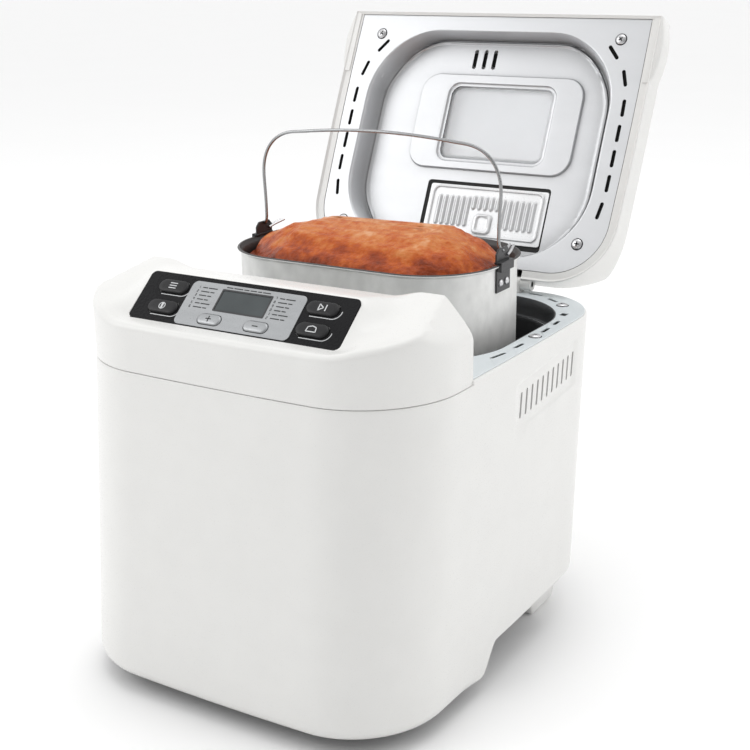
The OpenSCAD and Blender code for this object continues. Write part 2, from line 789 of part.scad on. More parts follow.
module drive_shaft() {
    color(steel) translate([0, oven_y, 0]) {
        translate([0, 0, belt_z - 1]) cylinder(r = shaft_r, h = dog_z - belt_z + 1);
        translate([-dog_len / 2, -dog_w / 2, dog_z - dog_h]) cube([dog_len, dog_w, dog_h]);
    }
}
module pulley(r, bore) {
    difference() {
        union() {
            cylinder(r = r, h = belt_h);
            translate([0, 0, -1]) cylinder(r = r + belt_t, h = 1);
            translate([0, 0, belt_h]) cylinder(r = r + belt_t, h = 1);
        }
        translate([0, 0, -2]) cylinder(r = bore, h = belt_h + 4);
    }
}
module drive_pulley() {
    color(dark) translate([0, oven_y, belt_z]) difference() {
        pulley(drive_pulley_r, shaft_r + 0.02);
        for (a = [0:60:300]) rotate([0, 0, a]) translate([drive_pulley_r * 0.58, 0, -2])
            cylinder(r = drive_pulley_r * 0.2, h = belt_h + 4);
    }
}
belt_dx = motor_x;
belt_dy = -motor_y - oven_y;
belt_len = norm([belt_dx, belt_dy]);
belt_turn = atan2(belt_dy, belt_dx);
belt_lean = asin((drive_pulley_r - motor_pulley_r) / belt_len);
// Outline of a belt around both pulleys, grown by g, its straights run a little onto the arcs.
belt_lap = 0.5;
function belt_point(x, r, side, lap) =
    [x + r * sin(belt_lean) + lap * cos(belt_lean), side * (r * cos(belt_lean) - lap * sin(belt_lean))];
module belt_outline(g) {
    circle(drive_pulley_r + g);
    translate([belt_len, 0]) circle(motor_pulley_r + g);
    polygon([belt_point(0, drive_pulley_r + g, 1, -belt_lap),
             belt_point(belt_len, motor_pulley_r + g, 1, belt_lap),
             belt_point(belt_len, motor_pulley_r + g, -1, belt_lap),
             belt_point(0, drive_pulley_r + g, -1, -belt_lap)]);
}
module drive_belt() {
    color(dark) translate([0, oven_y, belt_z + 0.5]) rotate([0, 0, belt_turn])
        linear_extrude(belt_h - 1) difference() {
            belt_outline(fit_gap + belt_t - 0.5);
            belt_outline(fit_gap);
        }
}
motor_z = belt_z + belt_h + 10;
collar_r = 9;
module at_motor(z) {
    translate([motor_x, -motor_y, z]) children();
}
module motor_body() {
    color(steel) at_motor(motor_z) difference() {
        union() {
            cylinder(r = motor_r, h = motor_h);
            translate([0, 0, -4]) cylinder(r = 9, h = 5);
            translate([0, 0, motor_h - 1]) cylinder(r = collar_r, h = 5);
        }
        translate([0, 0, -5]) cylinder(r = motor_shaft_d / 2 + pin_gap, h = motor_h + 4);
    }
}
module motor_bracket() {
    plate = 2;
    tab = 8;
    color(steel) at_motor(0) difference() {
        union() {
            translate([-motor_r - tab, -motor_r, motor_z - plate])
                cube([2 * (motor_r + tab), 2 * motor_r, plate - eps]);
            for (s = [-1, 1]) translate([s * (motor_r + tab - 1) - plate / 2, -motor_r, base_z + base_t])
                cube([plate, motor_r + 6, motor_z - base_z - base_t - eps]);
        }
        translate([0, 0, motor_z - 5]) cylinder(r = collar_r + fit_gap, h = 10);
    }
}
module motor_shaft() {
    color(steel) at_motor(belt_z - 1)
        cylinder(r = motor_shaft_d / 2, h = motor_z + 20 - belt_z);
}
module motor_pulley() {
    color(dark) at_motor(belt_z) pulley(motor_pulley_r, motor_shaft_d / 2 + 0.02);
}
power_w = 96;
power_d = 46;
post_h = 6;
post_in = 5;
transformer = [28, 24, 26];
capacitor_r = 11;
capacitor_h = 32;
// The power board on four posts, with its transformer and its capacitor.
module power_board() {
    color([0.1, 0.35, 0.2])
        translate([40 - body_w / 2, -body_front + 30, base_z + base_t]) {
            translate([0, 0, post_h]) cube([power_w, power_d, board_t]);
            for (x = [post_in, power_w - post_in], y = [post_in, power_d - post_in])
                translate([x, y, 0]) cylinder(r = 3, h = post_h + eps);
            translate([2 * post_in, 8, post_h + board_t - eps]) cube(transformer);
            translate([power_w - 34, 22, post_h + board_t - eps])
                cylinder(r = capacitor_r, h = capacitor_h);
        }
}

// ---- Pan, drawn seated and lifted out at rest ----
pan_z = oven_z + pan_seat_h;
pan_top = pan_z + pan_h;
pivot_z = pan_top + pivot_h;
module in_pan() {
    translate([0, oven_y, pan_lift]) children();
}
module pan_walls(grow, z0, z1) {
    rounded_slab(pan_w + 2 * grow, pan_d + 2 * grow, pan_r + grow, z0, z1);
}
pan_bore = pan_shaft_d / 2 + 3;
module bread_pan() {
    lip_h = 3.5;
    color(alloy) in_pan() difference() {
        union() {
            pan_walls(0, pan_z, pan_top);
            pan_walls(rim_lip, pan_top - lip_h, pan_top);
        }
        pan_walls(-pan_t, pan_z + pan_t, pan_top + 1);
        difference() {
            pan_walls(rim_lip - pan_t, pan_top - lip_h - 1, pan_top - pan_t);
            pan_walls(0, pan_top - lip_h - 2, pan_top);
        }
        translate([0, 0, pan_z - 1]) cylinder(r = pan_bore, h = 10);
        rivet_holes();
    }
}
rivet_r = 1.6;
rivet_z = pan_top - 19;
rivet_y = 5;
module rivet_holes() {
    for (y = [-rivet_y, rivet_y]) translate([0, y, rivet_z])
        rod_x(rivet_r, -pan_w / 2 - 5, pan_w / 2 + 5);
}
module pan_foot() {
    color(alloy) in_pan() translate([0, 0, pan_z - pan_foot_h]) {
        difference() {
            union() {
                ring(pan_foot_r, pan_foot_r - 3, pan_foot_h - eps);
                translate([0, 0, pan_foot_h - 3])
                    cylinder(r = pan_foot_r, h = 3 - eps);
                for (a = [0:90:270]) rotate([0, 0, a + 45])
                    translate([pan_foot_r - 1, -5, 2]) cube([1.9, 10, 4]);
            }
            cylinder(r = pan_bore, h = big);
        }
    }
}
bush_len = 14;
module pan_bush() {
    color([0.75, 0.6, 0.35]) in_pan() translate([0, 0, pan_z - 8]) difference() {
        union() {
            cylinder(r = pan_bore - 0.02, h = bush_len);
            translate([0, 0, 8 + pan_t]) cylinder(r = pan_bore + 2, h = 2);
        }
        translate([0, 0, -1]) cylinder(r = pan_shaft_d / 2 + pin_gap, h = bush_len + 2);
    }
}
shaft_top = pan_z + 30;
prong_x = 11;
prong_w = 6;
prong_h = 3.5;
prong_gap = 0.5;
module pan_shaft() {
    color(steel) in_pan() {
        translate([0, 0, dog_z + prong_gap])
            cylinder(r = pan_shaft_d / 2, h = shaft_top - dog_z - prong_gap);
        translate([-dog_w / 2, -dog_len / 2, dog_z + prong_gap]) cube([dog_w, dog_len, 2.2]);
        for (s = [-1, 1]) translate([-dog_w / 2, s * prong_x - prong_w / 2, dog_z - prong_h])
            cube([dog_w, prong_w, prong_h + prong_gap + 1]);
    }
}
hub_r = pan_shaft_d / 2 + 4;
hub_h = 24;
blade_t = 5;
paddle_z = pan_z + 8;
module kneading_paddle() {
    color(dark) in_pan() translate([0, 0, paddle_z]) difference() {
        union() {
            cylinder(r = hub_r, h = hub_h);
            translate([0, -blade_t / 2, 0]) cube([paddle_len, blade_t, paddle_h * 0.55]);
            translate([paddle_len * 0.55, -blade_t / 2, 0])
                cube([paddle_len * 0.45, blade_t, paddle_h]);
        }
        translate([0, 0, -1]) cylinder(r = pan_shaft_d / 2 + 0.02, h = hub_h - 0.5);
    }
}
// The loaf fills the pan and domes above its rim, with a round hollow where the paddle turns.
module bread_loaf() {
    g = pan_t + loaf_gap;
    top = pan_top - 6;
    color([0.72, 0.4, 0.2]) in_pan() difference() {
        union() {
            pan_walls(-g, pan_z + pan_t + 0.5, top);
            intersection() {
                pan_walls(-g, top - eps, pan_top + loaf_rise + 1);
                translate([0, 0, pan_top - 8])
                    scale([pan_w / 2 - g + 4, pan_d / 2 - g + 6, loaf_rise + 8])
                    sphere(r = 1, $fn = 56);
            }
        }
        translate([0, 0, pan_z]) cylinder(r = paddle_len + 3, h = paddle_h + 12);
    }
}
bracket_x = bail_x + wire_d / 2 + 0.7;
lip_x = pan_w / 2 + rim_lip + 0.2;
// One bent strip: riveted to the wall, round the rim, then up to carry the bail.
module bracket() {
    t = bracket_t;
    wall_x = pan_w / 2 + 0.02;
    under = pan_top - 8;
    over = pan_top + 0.2;
    hook = [[wall_x, rivet_z - 6], [wall_x + t, rivet_z - 6], [wall_x + t, under - t],
            [lip_x + t, under - t], [lip_x + t, over + t], [bracket_x + t, over + t],
            [bracket_x + t, pivot_z + 6], [bracket_x, pivot_z + 6], [bracket_x, over],
            [lip_x, over], [lip_x, under], [wall_x, under]];
    in_pan() difference() {
        along_y(-bracket_w / 2, bracket_w / 2) polygon(hook);
        translate([0, 0, pivot_z]) rod_x(wire_d / 2 + pin_gap, bail_x, pan_w);
        rivet_holes();
    }
}
module bail_bracket_right() color(dark) bracket();
module bail_bracket_left() color(dark) mirror([1, 0, 0]) bracket();
module bracket_rivets() {
    reach = pan_t + bracket_t + 0.1;
    color(steel) in_pan() for (side = [0, 1], y = [-rivet_y, rivet_y])
        mirror([side, 0, 0]) translate([pan_w / 2 - pan_t - 0.05, y, rivet_z]) {
            rod_x(rivet_r - 0.02, 0, reach + 0.1);
            translate([reach, 0, 0]) rod_x(rivet_r + 1.4, 0, 1.4);
            translate([-1.2, 0, 0]) rod_x(rivet_r + 1.4, 0, 1.2 + eps);
        }
}
// The bail: a straight grip, two round shoulders and two legs that end in outward pivots.
module bail_handle() {
    r = wire_d / 2;
    grip_half = bail_x - bail_r;
    color(steel) in_pan() translate([0, 0, pivot_z]) {
        translate([0, 0, bail_h]) rod_x(r, -grip_half, grip_half);
        for (s = [0, 1]) mirror([s, 0, 0]) {
            translate([grip_half, 0, bail_h - bail_r]) rotate([90, 0, 0])
                rotate_extrude(angle = 90) translate([bail_r, 0]) circle(r);
            translate([bail_x, 0, 0]) cylinder(r = r, h = bail_h - bail_r);
            translate([bail_x, 0, 0]) sphere(r = r);
            rod_x(r, bail_x, bracket_x + bracket_t + 2);
        }
    }
}

// ---- Lid, drawn closed and swung open at rest ----
lid_back = body_back - lid_back_in;
lid_front = housing_back - lid_gap;
lid_z0 = deck_z + rim_t + fit_gap;
lid_top = deck_z + lid_h;
plate_z = deck_z + plate_h;
dish_y = oven_y - dish_fwd;
dish_z = plate_z + dish_h;
window_y = oven_y - window_fwd;
mouth_y = oven_y + mouth_back;
// The frame's origin lies under the middle of the machine as it stands, lid open.
open_back = hinge_y - (lid_front + hinge_y) * cos(lid_open) + (lid_top - hinge_z) * sin(lid_open);
origin_y = (front_y + leaned(skirt_z) + open_back) / 2;
module placed() {
    translate([0, -origin_y, 0]) children();
}
module on_lid() {
    translate([0, hinge_y, hinge_z]) rotate([-lid_open, 0, 0])
        translate([0, -hinge_y, -hinge_z]) children();
}
module lid_form(t) {
    hw = body_w / 2;
    z1 = deck_z + lid_wall_h;
    s = t * 1.1;
    intersection() {
        slab(t, lid_z0, big, lid_back, lid_corner_r);
        along_y(-big, big) polygon([
            [-hw, 0], [-hw, z1 - s], [lid_slope - hw, lid_top - s],
            [hw - lid_slope, lid_top - s], [hw, z1 - s], [hw, 0]]);
        along_x(-big, big) polygon([
            [t - lid_front, 0], [t - lid_front, lid_top - s],
            [lid_back - lid_slope, lid_top - s], [lid_back, z1 - s], [lid_back, 0]]);
    }
}
grip_y = -lid_front + sqrt(pow(grip_r, 2) - pow(grip_r - grip_out, 2));
module grips() {
    for (s = [0, 1]) mirror([s, 0, 0])
        intersection() {
            translate([body_w / 2 + grip_out - grip_r, grip_y, lid_z0 + 6])
                cylinder(r = grip_r, h = grip_h);
            translate([body_w / 2 - 8, -lid_front, 0]) cube([big, big, big]);
        }
}
cover_w = mouth_w + 14;
cover_d = mouth_d + 8;
cover_z = lid_top + 1.4;
cover_pivot_y = mouth_y + cover_d / 2;
cover_lug_r = 2;
cover_pin_r = 0.8;
ear_t = 3;
module at_cover_pivot() {
    for (s = [0, 1]) translate([mouth_x, cover_pivot_y, cover_z]) mirror([s, 0, 0]) children();
}
module lid_shell() {
    color(white) on_lid() difference() {
        union() {
            difference() {
                lid_form(0);
                translate([0, 0, -2]) lid_form(lid_t);
            }
            difference() {
                grips();
                lid_form(lid_t);
            }
            intersection() {
                for (p = lid_screw_points) translate([p.x, p.y, plate_z + plate_t + fit_gap])
                    cylinder(r = boss_r - 1, h = big);
                lid_form(lid_t / 2);
            }
            at_cover_pivot() {
                rod_x(cover_lug_r, cover_w / 2 + 1, cover_w / 2 + 1 + ear_t);
                translate([cover_w / 2 + 1, -cover_lug_r, lid_top - cover_z - 1])
                    cube([ear_t, 2 * cover_lug_r, cover_z - lid_top + 1]);
            }
            for (x = hinge_sides, s = [-1, 1])
                translate([x + s * (post_w + fit_gap), hinge_y, hinge_z]) {
                    rod_x(knuckle_r, -knuckle_len / 2, knuckle_len / 2);
                    translate([-knuckle_len / 2, -hinge_out - lid_t, 0])
                        cube([knuckle_len, hinge_out + lid_t + 2, knuckle_r]);
                }
        }
        for (x = hinge_sides) {
            translate([x - post_w / 2 - fit_gap / 2, hinge_y - knuckle_r - 1.5, 0])
                cube([post_w + fit_gap, big, hinge_z + knuckle_r + 1]);
            translate([x, hinge_y, hinge_z])
                rod_x(hinge_pin_r + pin_gap, -2 * knuckle_len, 2 * knuckle_len);
        }
        translate([window_x, window_y, 0])
            rounded_slab(window_w + 8, window_d + 8, 12, plate_z, big);
        translate([mouth_x, mouth_y, 0])
            rounded_slab(mouth_w + 4, mouth_d + 2, 6, plate_z, big);
        translate([mouth_x, mouth_y, lid_top - 1.2])
            rounded_slab(cover_w + 1, cover_d + 1, 6, 0, big);
        at_cover_pivot() {
            rod_x(cover_lug_r + 0.6, 0, cover_w / 2 + 0.5);
            rod_x(cover_pin_r + pin_gap, 0, cover_w);
        }
        for (p = lid_screw_points) translate([p.x, p.y, 0])
            cylinder(r = screw_r, h = plate_z + 14);
    }
}
plate_mid_x = (dish_w / 2 + body_w / 2 - plate_in) / 2 + 0.5;
lid_screw_points = [for (s = [-1, 1]) each [
    [s * (plate_mid_x - 14), -lid_front + 17], [s * (plate_mid_x - 17), lid_back - 36]]];
lid_slots = [for (s = [-1, 1]) each concat(
    [[s * (plate_mid_x - 22), -lid_front + 26, s * 48],
     [s * (plate_mid_x - 8), -lid_front + 47, s * 74]],
    [for (i = [0:3]) [s * plate_mid_x, -lid_front + 76 + i * 27, s * 90]],
    [[s * (plate_mid_x - 3), -lid_front + 183, s * 104]])];
module dish(grow, z) {
    translate([0, dish_y, 0]) {
        rounded_slab(dish_w + 2 * grow, dish_d + 2 * grow, dish_r + grow,
                     plate_z - 1, z - dish_h + dish_h1);
        rounded_slab(dish_w - 2 * dish_step + 2 * grow, dish_d - 2 * dish_step + 2 * grow,
                     dish_r - dish_step + grow, plate_z - 1, z);
    }
}
dish_vents = [for (i = [-1:1]) [9 * i - 16, oven_y + 18 - oven_d / 2, 90]];
module lid_plate() {
    color(steel) on_lid() difference() {
        union() {
            intersection() {
                slab(plate_in, plate_z, plate_z + plate_t, lid_back, lid_corner_r);
                translate([-big, lid_t + fit_gap - lid_front, 0]) cube([2 * big, big, big]);
            }
            intersection() {
                dish(plate_t, dish_z + plate_t);
                translate([-big, -big, plate_z]) cube([2 * big, 2 * big, big]);
            }
        }
        dish(0, dish_z);
        translate([window_x, window_y, 0]) rounded_slab(window_w, window_d, 8, plate_z, big);
        translate([mouth_x, mouth_y, 0]) rounded_slab(mouth_w, mouth_d, 3, plate_z, big);
        slots(lid_slots, 0, dish_z - 5);
        slots(dish_vents, dish_z - 5, big);
        for (p = lid_screw_points) translate([p.x, p.y, 0]) cylinder(r = screw_r, h = big);
        for (x = hinge_sides) translate([x - post_w, hinge_y - knuckle_r - 3, 0])
            cube([2 * post_w, big, big]);
    }
}
module lid_screws() {
    color(steel) on_lid() for (p = lid_screw_points)
        translate([p.x, p.y, plate_z]) rotate([180, 0, 0]) screw(lid_screw_len);
}
window_t = 3;
window_z = dish_z + plate_t + 2;
module lid_window() {
    color([0.85, 0.88, 0.9, 0.5]) on_lid() translate([window_x, window_y, 0])
        rounded_slab(window_w + 7, window_d + 7, 11, window_z, window_z + window_t);
}
module window_seal() {
    color(dark) on_lid() translate([window_x, window_y, 0]) difference() {
        rounded_slab(window_w + 7, window_d + 7, 11, dish_z + plate_t + eps, window_z - eps);
        rounded_slab(window_w, window_d, 8, 0, big);
    }
}
module hinge_pins() {
    len = post_w + 2 * knuckle_len + 2 * fit_gap;
    color(steel) on_lid() for (x = hinge_sides) translate([x, hinge_y, hinge_z])
        rod_x(hinge_pin_r, -len / 2, len / 2);
}
// The bin for nuts and fruit: a sleeve from the cover down to the flap.
bin_t = 1.6;
module dispenser_bin() {
    color(steel) on_lid() translate([mouth_x, mouth_y, 0]) difference() {
        rounded_slab(mouth_w + 3, mouth_d + 1, 5, dish_z + plate_t + 0.1, lid_top - 1.3);
        rounded_slab(mouth_w + 3 - 2 * bin_t, mouth_d + 1 - 2 * bin_t, 3.4, 0, big);
    }
}
seal_t = 2.5;
module dispenser_seal() {
    color(dark) on_lid() translate([mouth_x, mouth_y, 0]) difference() {
        rounded_slab(mouth_w - 0.2, mouth_d - 0.2, 3, dish_z - seal_drop, dish_z + plate_t);
        rounded_slab(mouth_w - 2 * seal_t, mouth_d - 2 * seal_t, 2, 0, big);
        translate([0, flap_y - mouth_y, flap_z]) rod_x(flap_pin_r + pin_gap, -mouth_w, mouth_w);
    }
}
flap_w = mouth_w - 2 * seal_t - 1;
flap_d = mouth_d - 2 * seal_t - 1;
flap_t = 1.2;
flap_y = mouth_y - flap_d / 2 + 2;
flap_z = dish_z - 0.6;
flap_pin_r = 1;
rib_n = 17;
module dispenser_flap() {
    knuckle = flap_pin_r + 1;
    color(steel) on_lid() difference() {
        union() {
            translate([mouth_x, mouth_y, 0])
                rounded_slab(flap_w, flap_d, 2, flap_z - flap_t, flap_z);
            translate([mouth_x, flap_y, flap_z]) rod_x(knuckle, -flap_w / 2 + 2, flap_w / 2 - 2);
            for (i = [0:rib_n - 1]) let (x = (i - (rib_n - 1) / 2) * 5.4)
                translate([mouth_x + x, mouth_y + (abs(x) < 14 ? -7 : 1), flap_z - flap_t - 0.8])
                rotate([0, 0, 90]) linear_extrude(1)
                stadium(abs(x) < 14 ? flap_d - 32 : flap_d - 16, 2.6);
        }
        translate([mouth_x, flap_y, flap_z]) rod_x(flap_pin_r + pin_gap, -flap_w, flap_w);
    }
}
module flap_pin() {
    color(steel) on_lid() translate([mouth_x, flap_y, flap_z])
        rod_x(flap_pin_r, 1 - mouth_w / 2, mouth_w / 2 - 1);
}
// The latch stands on the bin's back wall, its nose just over the flap.
latch_w = 12;
nose_t = 4;
module dispenser_latch() {
    y1 = mouth_d / 2 - seal_t - fit_gap;
    color(dark) on_lid() translate([mouth_x - latch_w / 2, mouth_y + y1 - nose_t, 0]) {
        translate([0, 0, flap_z + fit_gap]) cube([latch_w, nose_t, 4]);
        translate([0, 0, flap_z + 2]) cube([latch_w, mouth_d / 2 + 0.5 - bin_t - y1 + nose_t, 6]);
    }
}
module dispenser_cover() {
    color(white) on_lid() difference() {
        union() {
            translate([mouth_x, mouth_y, 0]) {
                rounded_slab(cover_w, cover_d, 6, cover_z - 2.5, cover_z);
                difference() {
                    rounded_slab(mouth_w - 2, mouth_d - 4, 4, lid_top - 5, lid_top - 1);
                    rounded_slab(mouth_w - 6, mouth_d - 8, 2, 0, lid_top - 1);
                }
            }
            at_cover_pivot() rod_x(cover_lug_r, cover_w / 2 - 12, cover_w / 2);
        }
        at_cover_pivot() rod_x(cover_pin_r + pin_gap, cover_w / 2 - 11, cover_w);
    }
}
module cover_pins() {
    color(steel) on_lid() at_cover_pivot()
        rod_x(cover_pin_r, cover_w / 2 - 10, cover_w / 2 + 1 + ear_t);
}

placed() body_shell();
placed() base_plate();
placed() front_feet();
placed() rear_feet();
placed() base_screws();
placed() cord_gland();
placed() control_housing();
placed() control_overlay();
placed() display_fascia();
placed() display_lens();
placed() lcd_module();
placed() control_board();
placed() housing_screws();
placed() button_menu();
placed() button_color();
placed() button_plus();
placed() button_minus();
placed() button_start_stop();
placed() button_loaf();
placed() rim_plate();
placed() rim_screws();
placed() oven_chamber();
placed() heating_element();
placed() oven_sensor();
placed() pan_seat();
placed() drive_bearing();
placed() drive_shaft();
placed() drive_pulley();
placed() drive_belt();
placed() motor_body();
placed() motor_bracket();
placed() motor_shaft();
placed() motor_pulley();
placed() power_board();
placed() bread_pan();
placed() pan_foot();
placed() pan_bush();
placed() pan_shaft();
placed() kneading_paddle();
placed() bread_loaf();
placed() bail_bracket_left();
placed() bail_bracket_right();
placed() bracket_rivets();
placed() bail_handle();
placed() lid_shell();
placed() lid_plate();
placed() lid_screws();
placed() lid_window();
placed() window_seal();
placed() hinge_pins();
placed() dispenser_bin();
placed() dispenser_seal();
placed() dispenser_flap();
placed() flap_pin();
placed() dispenser_latch();
placed() dispenser_cover();
placed() cover_pins();
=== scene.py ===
"""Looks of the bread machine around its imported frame.

Lengths are millimetres in the body's own axes: x to the right, y to the back, z up from the floor.
place() turns a point into the frame's metres, lid() a point of the shut lid, which stands open here,
and panel() a point of the sloping control panel.
"""
import bpy, bmesh, json, math
import numpy as np
from mathutils import Matrix, Vector, noise
from mathutils.geometry import delaunay_2d_cdt


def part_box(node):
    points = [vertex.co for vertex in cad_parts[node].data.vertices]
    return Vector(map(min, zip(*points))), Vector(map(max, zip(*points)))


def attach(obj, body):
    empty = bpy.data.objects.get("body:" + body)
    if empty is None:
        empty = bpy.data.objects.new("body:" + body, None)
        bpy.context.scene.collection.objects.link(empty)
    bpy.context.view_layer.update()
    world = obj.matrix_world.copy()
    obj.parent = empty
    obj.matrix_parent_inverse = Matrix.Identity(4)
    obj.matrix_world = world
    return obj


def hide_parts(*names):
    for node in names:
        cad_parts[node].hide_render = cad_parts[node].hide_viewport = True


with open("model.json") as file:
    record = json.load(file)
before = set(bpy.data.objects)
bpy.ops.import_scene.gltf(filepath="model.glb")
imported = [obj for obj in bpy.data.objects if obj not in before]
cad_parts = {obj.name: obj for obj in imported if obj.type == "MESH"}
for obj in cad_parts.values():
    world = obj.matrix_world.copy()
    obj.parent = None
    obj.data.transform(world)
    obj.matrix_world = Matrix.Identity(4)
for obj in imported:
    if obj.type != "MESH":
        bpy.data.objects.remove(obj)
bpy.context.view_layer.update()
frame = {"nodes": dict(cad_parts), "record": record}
scene = bpy.context.scene
BODY_OF = {node: b for b, nodes in frame["record"]["behaviour"]["bodies"].items() for node in nodes}

# ---- sizes
BODY_NEAR = -193.52  # the body's foremost y, at the foot of its leaning front
OY = BODY_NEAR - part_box("body_shell")[0][1] * 1000  # the body's y at the frame's origin
HALF_W, BODY_FRONT, BODY_BACK = 137.0, -172.0, 142.0  # before the sides are bowed
FRONT_R, BACK_R = 64.0, 56.0
SIDE_BOW, FRONT_BOW = 3, 4
LEAN = 0.08  # slope of the walls along y
SKIRT, SIDE = 12.0, 32.0  # the walls' lower edge: at the front, along the sides
SEAM, DECK = 231.0, 235.2  # top of the walls, face of the rim plate
HINGE, POSTS, POST_R = (134.0, 242.0), (-62, 62), 5  # y and z of the lid's pin, x and radius of its posts
LID = math.radians(115)
LID_FRONT, LID_BACK, LID_BACK_R = -86.5, 132, 50
LID_FACE = 237.5  # face of the lid's plate, when shut
HOUSING_BACK = -88.0
PANEL_A, PANEL_Y, PANEL_Z = math.radians(41), -159.0, 263.6
PANEL_W, PANEL_D, PANEL_R = 167, 39.4, 4
OVEN_Y, OVEN_W, OVEN_D, OVEN_R = 24.0, 248.0, 194.0, 62.0
PAN_W, PAN_D, PAN_R, PAN_T = 206, 130, 52, 1.6
PAN_LIFT = 73.0  # how far the pan stands above its seat
PAN_FOOT, PAN_TOP = 72 + PAN_LIFT, 212.0 + PAN_LIFT


def place(v):
    return (v[0] / 1000, (v[1] - OY) / 1000, v[2] / 1000)


def lid(v):
    y, z = v[1] - HINGE[0], v[2] - HINGE[1]
    c, s = math.cos(LID), math.sin(LID)
    return place((v[0], HINGE[0] + y * c + z * s, HINGE[1] - y * s + z * c))


def panel(v):
    """u across, s up the slope, w outwards."""
    u, s, w = v
    return place((u, PANEL_Y + s * math.cos(PANEL_A) - w * math.sin(PANEL_A),
                  PANEL_Z + s * math.sin(PANEL_A) + w * math.cos(PANEL_A)))


# ---- outlines and heights
def cosd(a):
    return math.cos(math.radians(a))


def sind(a):
    return math.sin(math.radians(a))


def arc(cx, cy, r, angles):
    return [(cx + r * cosd(a), cy + r * sind(a)) for a in angles]


def quarter(start, n):
    return [start + 90 * i / n for i in range(n + 1)]


def plan(inset=0.0, back=BODY_BACK, back_r=BACK_R, side=64):
    """The body's outline, anticlockwise from its front right corner: round corners joined by bowed sides."""
    hw, yf, yb = HALF_W - inset, BODY_FRONT + inset, back - inset
    rf, rb = FRONT_R - inset, back_r - inset
    corners = [arc(x, y, r, quarter(start, 20)) for x, y, r, start in (
        (hw - rf, yf + rf, rf, -90), (hw - rb, yb - rb, rb, 0),
        (rb - hw, yb - rb, rb, 90), (rf - hw, yf + rf, rf, 180))]
    pts = []
    for c, nxt in zip(corners, corners[1:] + corners[:1]):
        p, q = c[-1], nxt[0]
        pts += c + [(p[0] + (q[0] - p[0]) * i / side, p[1] + (q[1] - p[1]) * i / side) for i in range(1, side)]
    yc, hd = (yf + yb) / 2, (yb - yf) / 2
    return np.array([(x * (1 + SIDE_BOW / hw * (1 - ((y - yc) / hd) ** 2)),
                      y - FRONT_BOW * max(0.0, (yc - y) / hd) * (1 - (x / hw) ** 2)) for x, y in pts])


def rrect(w, d, r, n=12, cx=0.0, cy=0.0):
    """A rounded rectangle."""
    r = max(min(r, w / 2 - 0.01, d / 2 - 0.01), 0.05)
    pts = []
    for sx, sy, start in ((1, -1, -90), (1, 1, 0), (-1, 1, 90), (-1, -1, 180)):
        pts += arc(cx + sx * (w / 2 - r), cy + sy * (d / 2 - r), r, quarter(start, n))
    return np.array(pts)


def stadium(cx, cy, length, w, turn=0, n=6):
    """A slot with round ends, turned about its middle."""
    p = rrect(length, w, w / 2, n)
    c, s = cosd(turn), sind(turn)
    return np.column_stack([cx + p[:, 0] * c - p[:, 1] * s, cy + p[:, 0] * s + p[:, 1] * c])


def beyond(p, y, behind=True):
    """The part of an outline behind a y, or in front of it, with its two cut ends."""
    keep = (p[:, 1] >= y) == behind
    k = [i for i in range(len(p)) if keep[i] and not keep[i - 1]][0]
    p, n = np.roll(p, -k, axis=0), int(keep.sum())
    def cross(a, b):
        return a + (b - a) * (y - a[1]) / (b[1] - a[1])
    return np.array([cross(p[-1], p[0]), *p[:n], cross(p[n - 1], p[n])])


def lid_plan(inset=0.0, side=64):
    """The lid's outline before its front is cut square."""
    return plan(inset, LID_BACK, LID_BACK_R, side)


def smooth(x, a, b):
    t = np.clip((np.asarray(x, float) - a) / (b - a), 0, 1)
    return t * t * (3 - 2 * t)


def softmax(a, b, k):
    """The larger of two heights, blended where they differ by less than k."""
    h = np.clip(0.5 + 0.5 * (a - b) / k, 0, 1)
    return b * (1 - h) + a * h + k * h * (1 - h)


def softmin(a, b, k):
    return -softmax(-np.asarray(a), -np.asarray(b), k)


def drop(d, r):
    """How far a rounded edge lies below its face, at a distance from the border."""
    d = np.clip(d, 0, r)
    return r - np.sqrt(np.maximum(r * r - (r - d) ** 2, 0))


def boxdist(x, y, w, d, r, cx=0.0, cy=0.0):
    """Signed distance to a rounded rectangle, negative inside."""
    qx, qy = np.abs(x - cx) - (w / 2 - r), np.abs(y - cy) - (d / 2 - r)
    return np.hypot(np.maximum(qx, 0), np.maximum(qy, 0)) + np.minimum(np.maximum(qx, qy), 0) - r


def polydist(p, loop):
    """Distance of points to a closed polyline."""
    d = np.full(len(p), 1e9)
    for q, r in zip(loop, np.roll(loop, -1, axis=0)):
        e = r - q
        t = np.clip(((p - q) @ e) / max(e @ e, 1e-12), 0, 1)
        d = np.minimum(d, np.hypot(*(p - q - t[:, None] * e).T))
    return d


def inside(p, loop):
    """Which points lie inside a closed polyline."""
    c = np.zeros(len(p), bool)
    for q, r in zip(loop, np.roll(loop, -1, axis=0)):
        if q[1] != r[1]:
            hit = (q[1] > p[:, 1]) != (r[1] > p[:, 1])
            c ^= hit & (p[:, 0] < (r[0] - q[0]) * (p[:, 1] - q[1]) / (r[1] - q[1]) + q[0])
    return c


def grid(lo, hi, step):
    x, y = np.meshgrid(*(np.arange(a, b, s) for a, b, s in zip(lo, hi, step)))
    return np.column_stack([x.ravel(), y.ravel()])


# ---- vertices and faces
def ring(points, z):
    p = np.asarray(points, float)
    return np.column_stack([p, np.full(len(p), float(z)) if np.isscalar(z) else z])


def loft(rings, caps=True):
    """Rings of equal length joined by quads."""
    n = len(rings[0])
    faces = [(i * n + j, i * n + k, (i + 1) * n + k, (i + 1) * n + j)
             for i in range(len(rings) - 1) for j, k in zip(range(n), [*range(1, n), 0])]
    if caps:
        faces += [tuple(range(n - 1, -1, -1)), tuple((len(rings) - 1) * n + j for j in range(n))]
    return np.vstack(rings), faces


